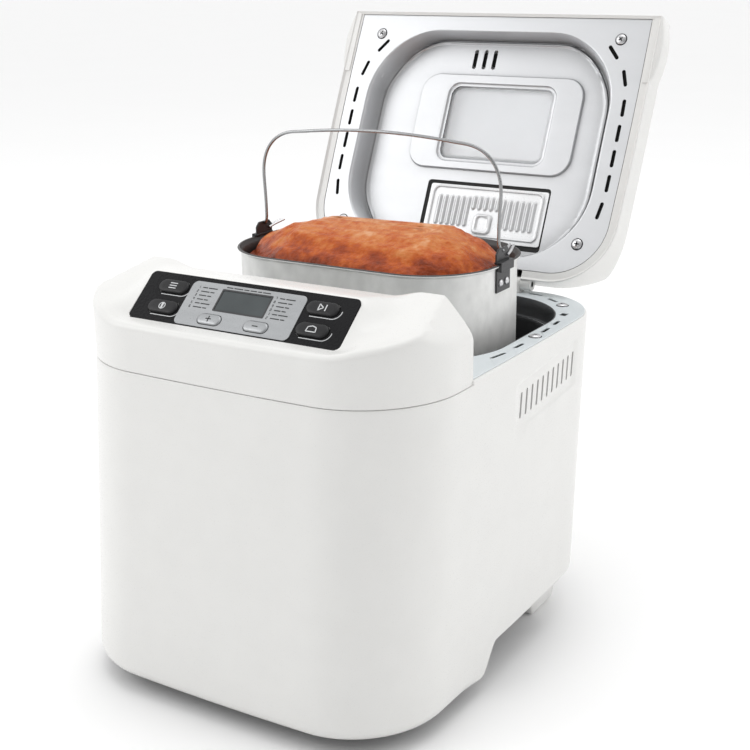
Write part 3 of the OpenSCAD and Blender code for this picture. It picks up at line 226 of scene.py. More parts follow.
def round_loft(rings):
    """Rings joined by quads, and the last one to the first."""
    v, f = loft(rings + rings[:1], False)
    m = len(v) - len(rings[0])
    return v[:m], [tuple(i % m for i in q) for q in f]


def prism(outline, z0, z1):
    """An outline of x and y, filled from one height to another."""
    return loft([ring(outline, z0), ring(outline, z1)])


def crossbar(profile, x0, x1):
    """A profile of y and z, filled from one x to another."""
    return loft([np.array([(x, y, z) for y, z in profile]) for x in (x0, x1)])


def disc(like, r, z):
    """A circle on the oven's axis with a point for each point of a ring, in the same direction."""
    a = np.arctan2(like[:, 1] - OVEN_Y, like[:, 0])
    return ring(np.column_stack([r * np.cos(a), OVEN_Y + r * np.sin(a)]), z)


def around(n):
    a = np.linspace(0, 2 * math.pi, n, endpoint=False)[:, None]
    return np.cos(a), np.sin(a)


def tube(path, r, n):
    """A round tube along a path of points."""
    path = np.asarray(path, float)
    ahead = np.gradient(path, axis=0)
    ahead /= np.linalg.norm(ahead, axis=1)[:, None]
    u = np.array([0.0, 1.0, 0.0] if abs(ahead[0][1]) < 0.9 else [1.0, 0.0, 0.0])
    (c, s), rings = around(n), []
    for p, t in zip(path, ahead):
        u = u - t * (u @ t)
        u /= np.linalg.norm(u)
        rings.append(p + r * (c * u + s * np.cross(t, u)))
    return loft(rings)


def turned(profile, centre, axis, n):
    """A body of revolution from (radius, height) pairs about an axis through centre."""
    (c, s), z = around(n), np.array(axis, float)
    z /= np.linalg.norm(z)
    x = np.cross((0, 1, 0) if abs(z[1]) < 0.9 else (1, 0, 0), z)
    x /= np.linalg.norm(x)
    y = np.cross(z, x)
    return loft([np.array(centre) + max(r, 0.001) * (c * x + s * y) + h * z for r, h in profile])


def merge(parts):
    verts, faces, k = [], [], 0
    for v, f in parts:
        verts.append(np.asarray(v, float))
        faces += [tuple(i + k for i in q) for q in f]
        k += len(v)
    return np.vstack(verts), faces


def triangles(outer, holes, lines, points, near=1e-4):
    """Triangles over an outline with holes. They keep to lines, pairs of a polyline and whether it is closed."""
    pts, edges = [], []
    for line, closed in [(outer, True)] + [(h, True) for h in holes] + lines:
        k = len(pts)
        pts += [Vector(p) for p in line]
        edges += [(k + i, k + i + 1) for i in range(len(line) - 1)] + [(k + len(line) - 1, k)] * closed
    v, _, f, *_ = delaunay_2d_cdt(pts + [Vector(p) for p in points], edges, [], 0, near)
    v, f = np.array([tuple(p) for p in v]), np.array(f)
    middle = v[f].mean(1)
    ok = inside(middle, outer)
    for h in holes:
        ok &= ~inside(middle, h)
    used, f = np.unique(f[ok], return_inverse=True)
    return v[used], f.reshape(-1, 3).tolist()


def border_of(f):
    edges = dict.fromkeys((t[i], t[(i + 1) % 3]) for t in f for i in range(3))
    return [(a, b) for a, b in edges if (b, a) not in edges]


def thick(v, f, z0, z1):
    """A sheet of triangles closed by the same sheet at another height."""
    n = len(v)
    faces = f + [[i + n for i in t[::-1]] for t in f] + [(b, a, a + n, b + n) for a, b in border_of(f)]
    return np.vstack([ring(v, z0), ring(v, z1)]), faces


def scattered(outer, holes, step, clear=-1):
    """A grid of points within an outline and outside its holes, clear of all their borders."""
    p = grid(outer.min(0) + step / 2, outer.max(0), (step, step))
    for loop in [outer] + holes:
        p = p[(inside(p, loop) == (loop is outer)) & (polydist(p, loop) > clear)]
    return p


def sheet_of(outer, holes, height, depth, step=None):
    """A thin sheet over an outline, its face at height, a number or a function, and its other side depth below."""
    points = scattered(outer, holes, step, step * 0.4) if step else []
    v, f = triangles(outer, holes, [], points, 1e-5)
    z = height(v[:, 0], v[:, 1]) if callable(height) else np.full(len(v), float(height))
    return thick(v, f, z, z - depth)


def walled(v, f, z, levels, at):
    """A top sheet with walls hung from its border: at(x, y, z, j, level) places ring j of the walls."""
    border = border_of(f)
    ids = sorted({i for edge in border for i in edge})
    verts, faces, above = [ring(v, z)], list(f), {i: i for i in ids}
    for j, level in enumerate(levels):
        below = {i: len(v) + j * len(ids) + k for k, i in enumerate(ids)}
        verts.append(np.array([at(*v[i], z[i], j, level) for i in ids]))
        faces += [(above[b], above[a], below[a], below[b]) for a, b in border]
        above = below
    return np.vstack(verts), faces


# ---- objects
def linked(name, data):
    o = bpy.data.objects.new(name, data)
    scene.collection.objects.link(o)
    return o


def edit(o, *changes):
    """Runs each change, a function of the bmesh, on an object's mesh."""
    bm = bmesh.new()
    bm.from_mesh(o.data)
    for change in changes:
        change(bm)
    bm.to_mesh(o.data)
    bm.free()


def outward(bm):
    bmesh.ops.recalc_face_normals(bm, faces=bm.faces)


def bare(name, shape, to=place):
    """An object of vertices and faces, without a material, body or slot."""
    me = bpy.data.meshes.new(name)
    me.from_pydata([to(v) for v in shape[0]], [], shape[1])
    o = linked(name, me)
    edit(o, outward)
    return o


def applied(o):
    """The object with its modifiers turned into mesh."""
    me = bpy.data.meshes.new_from_object(o.evaluated_get(bpy.context.evaluated_depsgraph_get()))
    o.modifiers.clear()
    o.data = me
    return o


def cut(o, cutters):
    for c in cutters:
        m = o.modifiers.new("cut", "BOOLEAN")
        m.operation, m.object, m.solver = "DIFFERENCE", c, "EXACT"
    applied(o)
    for c in cutters:
        bpy.data.objects.remove(c)
    return o


def join(name, objs):
    """One object of several, with their modifiers applied."""
    o = linked(name, bpy.data.meshes.new(name))
    edit(o, *(lambda bm, p=p: bm.from_mesh(applied(p).data) for p in objs), outward)
    for p in objs:
        bpy.data.objects.remove(p)
    return o


def wall_inward(o, up, thickness):
    """Gives an open shell a wall on its inner side."""
    def face_up(bm):
        if sum(q.normal.dot(up) * q.calc_area() for q in bm.faces) < 0:
            bmesh.ops.reverse_faces(bm, faces=bm.faces)
    edit(o, face_up)
    m = o.modifiers.new("wall", "SOLIDIFY")
    m.thickness, m.offset = thickness / 1000, -1
    return applied(o)


def rounded(o, width, segments=2, angle=30):
    b = o.modifiers.new("round", "BEVEL")
    b.width, b.segments, b.limit_method, b.angle_limit = width / 1000, segments, "ANGLE", math.radians(angle)


def coated(o, mats, angle, body, nodes=()):
    """Material, shading and body of a finished object, with the CAD nodes it stands for hidden."""
    o.data.materials.clear()
    for m in mats if isinstance(mats, list) else [mats]:
        o.data.materials.append(m)
    o.data.shade_smooth()
    o.data.set_sharp_from_angle(angle=math.radians(angle))
    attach(o, body)
    if nodes:
        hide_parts(*nodes)
    return o


def piece(name, shape, body, mats, to=place, nodes=(), angle=32, which=None):
    """A visible piece; which gives the material's number for each face."""
    o = bare(name, shape, to)
    coated(o, mats, angle, body, nodes)
    if which is not None:
        o.data.polygons.foreach_set("material_index", np.asarray(which, np.int32))
    return o


def pressed(name, shape, body, m, to, node, width):
    """A piece of one material with rounded edges."""
    rounded(piece(name, shape, body, m, to, [node]), width, 2, 40)


def dressed(node, m, bevel, segments):
    """A rounded copy of a CAD node that stands for it."""
    o = linked(node + "_shape", frame["nodes"][node].data.copy())
    edit(o, lambda bm: bmesh.ops.remove_doubles(bm, verts=bm.verts, dist=1e-6),
         lambda bm: bmesh.ops.dissolve_limit(bm, angle_limit=math.radians(2), verts=bm.verts, edges=bm.edges,
                                             delimit=set()))
    if bevel:
        rounded(o, bevel, segments)
    coated(applied(o), m, 32, BODY_OF[node], [node])


# ---- materials
def feed(t, node, inputs):
    """Sets each input of a node to a value, or links it to another node's output."""
    for name, value in inputs.items():
        if isinstance(value, bpy.types.NodeSocket):
            t.links.new(value, node.inputs[name])
        else:
            node.inputs[name].default_value = value


def shader(t, kind, inputs, **settings):
    """A new shader node."""
    n = t.nodes.new("ShaderNode" + kind)
    for name, value in settings.items():
        setattr(n, name, value)
    feed(t, n, inputs)
    return n


def remap(t, source, lo, hi, a=0.0, z=1.0):
    """Carries a value between lo and hi over to a and z."""
    ends = {"From Min": lo, "From Max": hi, "To Min": a, "To Max": z}
    return shader(t, "MapRange", {"Value": source, **ends}).outputs["Result"]


def mat(name, color, rough=0.4, metal=0.0, grain=900, depth=0.1, tint=0.03, mottle=40, coat=0.0, spec=0.5,
        stretch=(1, 1, 1), vary=0.08, build=None):
    """A surface with slow mottling of its colour, and fine grain in its roughness and relief."""
    m = bpy.data.materials.new(name)
    m.use_nodes = True
    t = m.node_tree
    b = t.nodes["Principled BSDF"]
    where = shader(t, "TexCoord", {}).outputs["Object"]
    where = shader(t, "Mapping", {"Scale": stretch, "Vector": where}).outputs["Vector"]

    def noise_of(scale, detail=3.0):
        return shader(t, "TexNoise", {"Scale": scale, "Detail": detail, "Vector": where}).outputs["Fac"]
    big, fine = noise_of(mottle), noise_of(grain, 2.0)
    low, high = (tuple(min(c * k, 1) for c in color) + (1,) for k in (1 - tint, 1 + tint))
    mix = shader(t, "Mix", {"A": low, "B": high, "Factor": remap(t, big, 0.3, 0.7)}, data_type="RGBA").outputs["Result"]
    bump = shader(t, "Bump", {"Strength": depth, "Distance": 0.0003, "Height": fine})
    roughness = remap(t, fine, 0.3, 0.7, max(rough - vary, 0.02), min(rough + vary, 1))
    feed(t, b, {"Base Color": mix, "Roughness": roughness, "Normal": bump.outputs["Normal"], "Metallic": metal,
                "Coat Weight": coat, "Coat Roughness": 0.06, "Specular IOR Level": spec})
    if build:
        build(t, b, mix, bump, noise_of)
    return m


def crust(t, b, mix, bump, noise_of):
    """Crust: darker and redder towards the bottom of the sides, pale over the crown, blotched and flecked, with pores.
    The palest tones on the crown are partly the crust's own and partly a painted highlight.
    """
    def add(value, factor, plus):
        return shader(t, "Math", {0: value, 1: factor, 2: plus}, operation="MULTIPLY_ADD").outputs["Value"]
    axes = shader(t, "SeparateXYZ", {"Vector": shader(t, "TexCoord", {}).outputs["Object"]})
    height = remap(t, axes.outputs["Z"], (PAN_TOP - 7) / 1000, (PAN_TOP + 21) / 1000)
    flecks = add(noise_of(190, 7.0), 0.7, add(noise_of(48, 9.0), 1.2, -0.72))
    ramp = shader(t, "ValToRGB", {"Fac": add(height, 0.62, flecks)})
    e = ramp.color_ramp.elements
    e[0].position, e[0].color = 0.12, (0.20, 0.030, 0.005, 1)
    # The palest stop, reached over the crown, is partly a painted highlight.
    e[1].position, e[1].color = 1.0, (0.72, 0.37, 0.19, 1)
    for p, c in ((0.32, (0.34, 0.052, 0.006, 1)), (0.54, (0.50, 0.100, 0.010, 1)), (0.78, (0.60, 0.20, 0.050, 1))):
        e.new(p).color = c
    feed(t, b, {"Base Color": ramp.outputs["Color"]})
    feed(t, bump, {"Distance": 0.0032, "Height": noise_of(260, 6.0)})


def folds(t, b, mix, bump, noise_of):
    """Painted shade: darker where the sheet is hollow, the base colour blended towards near-black by ambient occlusion.
    """
    open_sky = shader(t, "AmbientOcclusion", {"Distance": 0.022}, samples=12).outputs["AO"]
    shares = {"A": (0.02, 0.021, 0.022, 1), "B": mix, "Factor": remap(t, open_sky, 0.25, 0.95, 0.08, 1.0)}
    feed(t, b, {"Base Color": shader(t, "Mix", shares, data_type="RGBA").outputs["Result"]})


def pane(t, b, mix, bump, noise_of):
    """Frosted glass."""
    feed(t, b, {"Transmission Weight": 0.55, "IOR": 1.45})


WHITE = mat("white_plastic", (0.765, 0.762, 0.745), 0.34, grain=1500, depth=0.06, tint=0.012, coat=0.12)
BLACK = mat("black_plastic", (0.028, 0.028, 0.030), 0.38, grain=1200, depth=0.12, tint=0.15)
GREY = mat("grey_plastic", (0.48, 0.49, 0.50), 0.36, 0.25, grain=1300, depth=0.08, tint=0.04)
OVERLAY = mat("overlay_black", (0.010, 0.010, 0.011), 0.28, grain=500, depth=0.02, tint=0.15, spec=0.12, vary=0.05)
BLACK_KEY = mat("key_black", (0.016, 0.016, 0.017), 0.34, grain=1200, depth=0.06, tint=0.15, spec=0.25)
SILVER = mat("silver_trim", (0.37, 0.38, 0.39), 0.34, 0.65, grain=1400, depth=0.04, tint=0.05, stretch=(1, 6, 1))
LCD = mat("display_clear", (0.075, 0.085, 0.088), 0.2, depth=0.01, tint=0.12, spec=0.2, vary=0.04)
SEGMENT = mat("display_dark", (0.02, 0.022, 0.022), 0.3, tint=0.1)
INK = mat("print_ink", (0.62, 0.63, 0.64), 0.4, tint=0.03)
BOARD = mat("circuit_board", (0.02, 0.11, 0.05), 0.42, tint=0.2, mottle=300)
RUBBER = mat("black_rubber", (0.007, 0.007, 0.007), 0.7, grain=1700, depth=0.25, tint=0.2)
# Near-black painted shade, put under the slots and vents and round the screw heads where there is only shade.
SHADE = mat("painted_shade_black", (0.006, 0.006, 0.006), 0.7, tint=0.1, spec=0.1)
SCREW = mat("screw_steel", (0.60, 0.60, 0.61), 0.30, 0.95, grain=1600, depth=0.08, tint=0.06)
WIRE = mat("bail_steel", (0.33, 0.335, 0.34), 0.26, 1.0, grain=1800, depth=0.05, tint=0.04)
SHAFT = mat("shaft_steel", (0.55, 0.55, 0.56), 0.25, 1.0, grain=1500, depth=0.06, stretch=(1, 1, 8))
BRACKET = mat("bracket_dark", (0.05, 0.05, 0.052), 0.36, 0.5, grain=1400, depth=0.1, tint=0.15)
BRASS = mat("bush_brass", (0.62, 0.45, 0.18), 0.32, 1.0, tint=0.06)
MOTOR = mat("motor_shell", (0.32, 0.33, 0.34), 0.4, 0.8, tint=0.06)
HEATER = mat("heater_sheath", (0.12, 0.11, 0.105), 0.5, 0.6, tint=0.2, mottle=120, depth=0.2)
SEAT = mat("seat_metal", (0.42, 0.42, 0.41), 0.5, 0.7, tint=0.08, depth=0.15)
# The oven's walls and floor are near-black copies of its grey step: painted shade.
OVEN = mat("oven_wall_shade", (0.085, 0.088, 0.092), 0.42, 0.7, grain=700, depth=0.08, tint=0.08, mottle=20)
STEP = mat("oven_step", (0.55, 0.57, 0.58), 0.35, 0.6, grain=700, depth=0.08, tint=0.06)
DARK_OVEN = mat("oven_deep_shade", (0.035, 0.036, 0.038), 0.5, 0.3, grain=700, depth=0.1, tint=0.12, spec=0.3)
RIM = mat("rim_metal", (0.665, 0.71, 0.73), 0.42, 0.22, depth=0.06, tint=0.03, mottle=25)
# The plate and the flap carry painted shade in their hollows, from ambient occlusion in their colour.
PLATE = mat("plate_metal", (0.63, 0.64, 0.655), 0.36, 0.6, depth=0.05, tint=0.02, mottle=18,
            stretch=(1, 3, 3), build=folds)
FLAP = mat("flap_metal", (0.80, 0.81, 0.82), 0.34, 0.45, grain=1400, depth=0.05, tint=0.03, build=folds)
ALLOY = mat("pan_metal", (0.80, 0.80, 0.785), 0.50, 0.3, grain=1300, depth=0.2, tint=0.08, mottle=60,
            stretch=(1.4, 1.4, 1))
COAT = mat("pan_lining", (0.055, 0.053, 0.052), 0.48, 0.1, grain=1500, depth=0.2, tint=0.12)
CRUST = mat("bread_crust", (0.5, 0.22, 0.08), 0.36, spec=0.22, depth=0.55, build=crust)
GLASS = mat("window_glass", (0.93, 0.95, 0.97), 0.42, depth=0.12, tint=0.02, build=pane)

# ---- body
WALL = 3.0
LIP = 12.5  # how far the wall's top is turned in under the rim plate
VENTS, VENT_PITCH, VENT_RISE = 11, 8.8, 0.62
VENT_Y, VENT_Z = -16.3, 196.6
GLAND_X, GLAND_Z, GLAND_R = -76, 62, 6


def leaned(z):
    """How far the leaning walls stand forward of their place at the seam."""
    return LEAN * np.minimum(np.asarray(z, float) - SEAM, 0)


def body_wall():
    """The casing as one loop of rings: up inside the wall, round its lower edge, up outside and in at the top."""
    y = plan()[:, 1]
    foot = SKIRT + (SIDE - SKIRT) * smooth(y, -53, -33)
    sides, rear = smooth(y, -80, -48), (y > -87.5)[:, None]
    def at(p, z):
        return np.column_stack([p[:, 0], p[:, 1] + leaned(z), z])
    def level(z):
        """A height that follows the lower edge at the bottom and is flat at the seam."""
        return foot + (z - SKIRT) * (SEAM - foot) / (SEAM - SKIRT) if z < SEAM else np.full(len(y), float(z))
    rings = [at(plan(WALL), level(z)) for z in (227.0, 180, 120, 60, 20, SKIRT + 6)]
    rings += [at(plan(WALL + 0.8), level(SKIRT + 1.0)), at(plan(WALL + 1.6), level(SKIRT))]
    for i in range(8):
        a = 60 - 60 * i / 7
        c = 1 - cosd(a)
        p = plan(10 * c) * (1 - sides)[:, None] + plan(3 * c) * sides[:, None]
        rings.append(at(p, foot + (10 - 7 * sides) * (sind(60) - sind(a))))
    for z in [*range(25, 176, 14), *range(176, 189), 192, 197, 202, 207, *range(210, 222), 224, 227, 229]:
        zz = level(z)
        h = zz - 0.065 * (y + 15)
        recess = smooth(y, -23, -20) * (1 - smooth(y, 76, 79)) * smooth(h, 179.5, 181.5) * (1 - smooth(h, 213, 215))
        rings.append(at(plan() * np.column_stack([1 - recess / 140, np.ones(len(y))]), zz))
    for front, back, z in (
            (0.06, 0.0, 230.3), (0.26, 0.0, 230.7), (0.6, 0.0, 230.95), (0.9, 0.0, 231.0), (3.0, 0.0, 231.2),
            (3.0, 0.0, 232.7), (3.0, 0.25, 233.3), (3.2, 0.8, 233.8), (4.0, 1.5, 234.0)):
        rings.append(ring(np.where(rear, plan(back), plan(front)), z))
    return round_loft(rings + [at(plan(LIP), level(z)) for z in (234.0, 227.0)])


def body():
    o = bare("body", body_wall())
    gland = (GLAND_X, BODY_BACK + float(leaned(GLAND_Z)), GLAND_Z)
    cutters = [turned([(GLAND_R, -20), (GLAND_R, 20)], gland, (0, 1, -LEAN), 28)]
    slot = rrect(2.7, 18.5, 1.3, 5)
    for i in range(VENTS):
        y = VENT_Y + i * VENT_PITCH + slot[:, 0] + 0.12 * slot[:, 1]
        z = VENT_Z + i * VENT_RISE + slot[:, 1]
        cutters += [crossbar(np.column_stack([y, z]), s * 110, s * 150) for s in (-1, 1)]
    cut(o, [bare("cutter", merge(cutters))])
    post = [(HINGE[0] - POST_R, 226), (HINGE[0] + POST_R, 226)] + arc(*HINGE, POST_R, range(0, 181, 12))
    parts = [bare("post", crossbar(post, x - 4.5, x + 4.5)) for x in POSTS]
    for p in parts:
        rounded(p, 0.6)
    o = join("body_skin", [o] + parts)
    coated(o, WHITE, 30, "base", ["body_shell"])


body()


# ---- control housing
def housing_top(x, y):
    """The panel's slope with the ridge behind it, and the rounded shoulders at both sides."""
    ax = np.abs(x)
    slope = PANEL_Z + (y - PANEL_Y) * math.tan(PANEL_A)
    fall = 290.1 + (y + 124.3) * (283 - 290.1) / 36.3
    ridge = softmin(softmin(softmax(np.full_like(ax, 264.2), slope, 1.2), np.full_like(ax, 290.0), 3.0), fall, 3.0)
    shoulder = softmin(265 + (y + 176) * 23 / 88, 265 + (140 - ax) * 23 / 21, 1.6)
    t = smooth(ax, 80, 104)
    return ridge * (1 - t) + shoulder * t


def housing():
    def front(inset):
        return beyond(plan(inset), HOUSING_BACK, False)
    gap, deep = 0.3, PANEL_D * math.cos(PANEL_A)
    bed = (PANEL_W, deep, PANEL_R, 0, PANEL_Y + deep / 2)
    out = front(gap)
    outer = np.vstack([out, [(x, HOUSING_BACK) for x in np.linspace(out[-1][0], out[0][0], 120)[1:-1]]])
    lines = [(front(gap + d), False) for d in (0.15, 0.45, 0.95, 1.6, 2.5, 3.4, 4.6)]
    lines += [([(x, HOUSING_BACK - d) for x in np.linspace(-133, 133, 112)], False)
              for d in (0.07, 0.25, 0.6, 1.2, 3.0)]
    lines += [(rrect(PANEL_W + 2 * g, deep + 2 * g, PANEL_R, 6, *bed[3:]), True) for g in (0.3, 0.5)]
    g = grid(outer.min(0), (outer.max(0)[0], HOUSING_BACK - 3.5), (2.6, 2.2))
    g = g[inside(g, front(9.0))]
    v, f = triangles(outer, [], lines, g[np.abs(boxdist(*g.T, *bed)) > 1.2])
    z = housing_top(*v.T) - drop(polydist(v, plan(gap)), 4.5) - drop(HOUSING_BACK - v[:, 1], 1.2)
    z -= 1.6 * (boxdist(*v.T, *bed) < 0.4)
    levels = (258, 250, 242, SEAM + 0.9, SEAM + 0.3)

    def at(x, y, z, j, level):
        """The back wall ends above the deck, the others at the seam, where they turn in a little."""
        if y > HOUSING_BACK - 0.01:
            low = min(level, z - 0.4 * (j + 1))
            return x, y, max(low, DECK + 0.1) if level < 236 else low
        s = 1 - 0.4 / 140 if level == levels[-1] else 1
        return x * s, y * s, min(level, z - 0.5 * (j + 1))
    o = wall_inward(bare("housing_skin", walled(v, f, z, levels, at)), Vector((0, 0, 1)), 2.2)
    coated(o, WHITE, 38, "base", ["control_housing"])


housing()

# ---- controls
DARK_KEYS = {"button_menu": (-59.5, 28.5), "button_color": (-59.5, 12),
             "button_start_stop": (59.5, 28.5), "button_loaf": (59.5, 12)}
LIGHT_KEYS = {"button_plus": (-18.5, 7.6), "button_minus": (18.5, 7.6)}
DARK_KEY, LIGHT_KEY = (24, 10), (18.5, 8)
LCD_V = 23.4
GLYPHS = {
    "button_menu": [([(-3, k), (3, k)], 0.7) for k in (-1.9, 0, 1.9)],
    "button_color": [(arc(0, 0, 2.4, range(0, 361, 30)), 0.6), ([(0, -2.2), (0, 2.2)], 1.6)],
    "button_start_stop": [([(-2.4, -2.4), (-2.4, 2.4)], 0.7), ([(-2.4, 2.4), (1.0, 0), (-2.4, -2.4)], 0.7),
                          ([(2.8, -2.4), (2.8, 2.4)], 0.8)],
    "button_loaf": [([(-3.6, -2), (3.6, -2), (3.0, 1.4), (0, 2.3), (-3.0, 1.4), (-3.6, -2)], 0.7)]}
SEGMENTS = {"a": (0, 2, 1, 2), "b": (1, 2, 1, 1), "c": (1, 1, 1, 0), "d": (0, 0, 1, 0), "e": (0, 0, 0, 1),
            "f": (0, 1, 0, 2), "g": (0, 1, 1, 1)}
STROKES = {"0": "abcdef", "1": "bc", "2": "abged", "3": "abgcd", "4": "fgbc", "5": "afgcd", "6": "afgedc", "7": "abc",
           "8": "abcdefg", "9": "gfabcd"}


def key(name, at, size, m):
    """A domed push button with a rounded edge."""
    w, d = size
    rings = [ring(stadium(*at, w - 2 * k, d - 2 * k, n=8), z)
             for k, z in ((0, -4.2), (0, 0.6), (0.12, 1.05), (0.45, 1.42), (0.95, 1.62))]
    for k in (0.75, 0.5, 0.25, 0.03):
        rings.append(ring(stadium(*at, (w - 2) * k + 0.02, (d - 2) * k + 0.01, n=8), 1.62 + 0.25 * (1 - k ** 2)))
    piece(name + "_key", loft(rings), BODY_OF[name], m, panel, [name], 50)


def controls():
    def key_holes(keys, w, d):
        return [stadium(*at, w + 0.8, d + 0.8, n=8) for at in keys.values()]
    light_holes = key_holes(LIGHT_KEYS, *LIGHT_KEY) + [rrect(39.5, 16.5, 0.6, 3, 0, LCD_V)]
    dark_holes = key_holes(DARK_KEYS, *DARK_KEY)
    overlay = sheet_of(rrect(PANEL_W, PANEL_D, PANEL_R, 10, 0, PANEL_D / 2), dark_holes + light_holes, 0.12, 1.2)
    pressed("overlay", overlay, "base", OVERLAY, panel, "control_overlay", 0.35)
    fascia = sheet_of(rrect(91, 34.6, 4, 10, 0, 18.5), light_holes, 0.6, 0.5)
    pressed("fascia", fascia, "base", SILVER, panel, "display_fascia", 0.25)
    lens = sheet_of(rrect(38.9, 15.9, 0.5, 3, 0, LCD_V), [], 0.35, 0.9)
    piece("lens", lens, "base", LCD, panel, ["display_lens"])
    rim = sheet_of(rrect(40.6, 17.6, 0.8, 3, 0, LCD_V), [rrect(38.3, 15.3, 0.4, 3, 0, LCD_V)], 0.72, 0.5)
    piece("lens_frame", rim, "base", BLACK, panel)
    for name, at in DARK_KEYS.items():
        key(name, at, DARK_KEY, BLACK_KEY)
    for name, at in LIGHT_KEYS.items():
        key(name, at, LIGHT_KEY, SILVER)


def bars(points, t, z):
    """A thin printed line through points of the panel."""
    out, p = [], np.array(points, float)
    for a, b in zip(p, p[1:]):
        d = (b - a) / max(np.hypot(*(b - a)), 1e-6)
        side = np.array([-d[1], d[0]]) * t / 2
        out.append(prism([a - side, b - side, b + side, a + side], z, z + 0.07))
    return out


def digit(c, x, y):
    """A plain number of straight strokes."""
    h, w = 1.7, 1.7 * 0.52
    strokes = []
    for x0, y0, x1, y1 in (SEGMENTS[k] for k in STROKES[c]):
        strokes += bars([(x + x0 * w, y + y0 * h / 2), (x + x1 * w, y + y1 * h / 2)], 0.3, 0.62)
    return strokes


def legends():
    """Numbered dashes for the menus, plain signs on the keys and a line under each dark key."""
    def dash(u, end, v):
        return bars([(u, v), (end, v)], 0.75, 0.62)
    marks = []
    for s in (-1, 1):
        for i in range(6):
            y = 31.4 - i * 3.1
            marks += digit(str(i + 1 if s < 0 else i + 7)[-1], s * 31 - 8.6, y - 1.0)
            end, gap = s * 31 + 6.5 - (i * 5 % 4), s * 31 - 1.5 + (i * 3 % 4)
            marks += dash(s * 31 - 5.4, gap, y - 0.2) + dash(gap + 0.9, end, y - 0.2)
    for u, w in ((-18, 5), (-12, 7), (-4, 4), (1, 5), (7, 3), (11, 6)):
        marks += dash(u, u + w, 33.7)
    for u, v in LIGHT_KEYS.values():
        marks += bars([(u - 2.2, v), (u + 2.2, v)], 0.8, 1.84)
    u, v = LIGHT_KEYS["button_plus"]
    marks += bars([(u, v - 2.2), (u, v + 2.2)], 0.8, 1.84)
    piece("legend_dark", merge(marks), "base", SEGMENT, panel)
    lines, signs = [], []
    for name, (u, v) in DARK_KEYS.items():
        for points in ([(u - 7.5, v - 6.5), (u + 8.5, v - 6.5)], arc(u + 8.5, v - 0.6, 5.9, range(-90, 10, 12))):
            lines += bars(points, 0.55, 0.13)
        for points, t in GLYPHS[name]:
            signs += bars([(u + a, v + b) for a, b in points], t, 1.86)
    piece("key_underlines", merge(lines), "base", INK, panel)
    piece("key_glyphs", merge(signs), "base", INK, panel)


controls()
legends()


# ---- screws
def phillips(name, spots, z, body, to, node, down=1):
    """Domed heads with a cross recess, each on a near-black disc of painted shade, as round a countersunk dimple; down
    is -1 where they look down.
    """
    r = 4.2
    profile = [(1.5, -8), (1.5, -0.2), (r - 0.3, 0.0), (r, 0.25)]
    profile += [(r * cosd(a) * 0.98 + 0.02, 0.45 + 1.3 * sind(a)) for a in (12, 28, 45, 62, 78)] + [(0.01, 1.78)]
    head = bare("head", turned(profile, (0, 0, 0), (0, 0, 1), 28), tuple)
    arm = loft([ring([(-w, -0.55), (w, -0.55), (w, 0.55), (-w, 0.55)], h) for w, h in ((1.1, -0.3), (2.4, 2.4))])
    cut(head, [bare("arm", arm, tuple), bare("arm", arm, lambda v: (v[1], v[0], v[2]))])
    x0, y0, z0 = np.array([p.co for p in head.data.vertices]).T
    faces = [tuple(p.vertices) for p in head.data.polygons]
    bpy.data.objects.remove(head)
    parts = []
    for k, (x, y) in enumerate(spots):
        c, s = math.cos(0.6 + 1.9 * k), math.sin(0.6 + 1.9 * k)
        parts.append((np.column_stack([x0 * c - y0 * s + x, x0 * s + y0 * c + y, z + down * z0]), faces))
    piece(name, merge(parts), body, SCREW, to, [node], 28)
    # Painted shade: a thin near-black disc under each head.
    shade_discs = [prism(stadium(x, y, 2 * r + 1.3, 2 * r + 1.3, n=12), z - down * 0.1, z + down * 0.05) for x, y in spots]
    piece(name + "_seat", merge(shade_discs), body, SHADE, to)


RIM_SCREWS = [(s * x, y) for x, y in ((131.0, 21.5), (112.5, 110.0)) for s in (-1, 1)]
LID_SCREWS = [(s * x, y) for x, y in ((109.5, -67), (108, 99)) for s in (-1, 1)]
phillips("rim_heads", RIM_SCREWS, DECK, "base", place, "rim_screws")
phillips("lid_heads", LID_SCREWS, LID_FACE, "lid", lid, "lid_screws", -1)

# ---- oven and rim plate
OVEN_FLOOR = 53.2
RIM_SLOTS = [(s * x, y, long, s * turn) for s in (-1, 1) for x, y, long, turn in (
    (129.0, -32.5, 17, 80), (130.9, -4.5, 13, 88), (130.2, 40.5, 13, 92), (128.8, 62.2, 12, 94),
    (99, 121.5, 13, -32), (80, 131.5, 13, -8))]
RIM_SQUARES = [(s * 124.0, 86.3) for s in (-1, 1)]


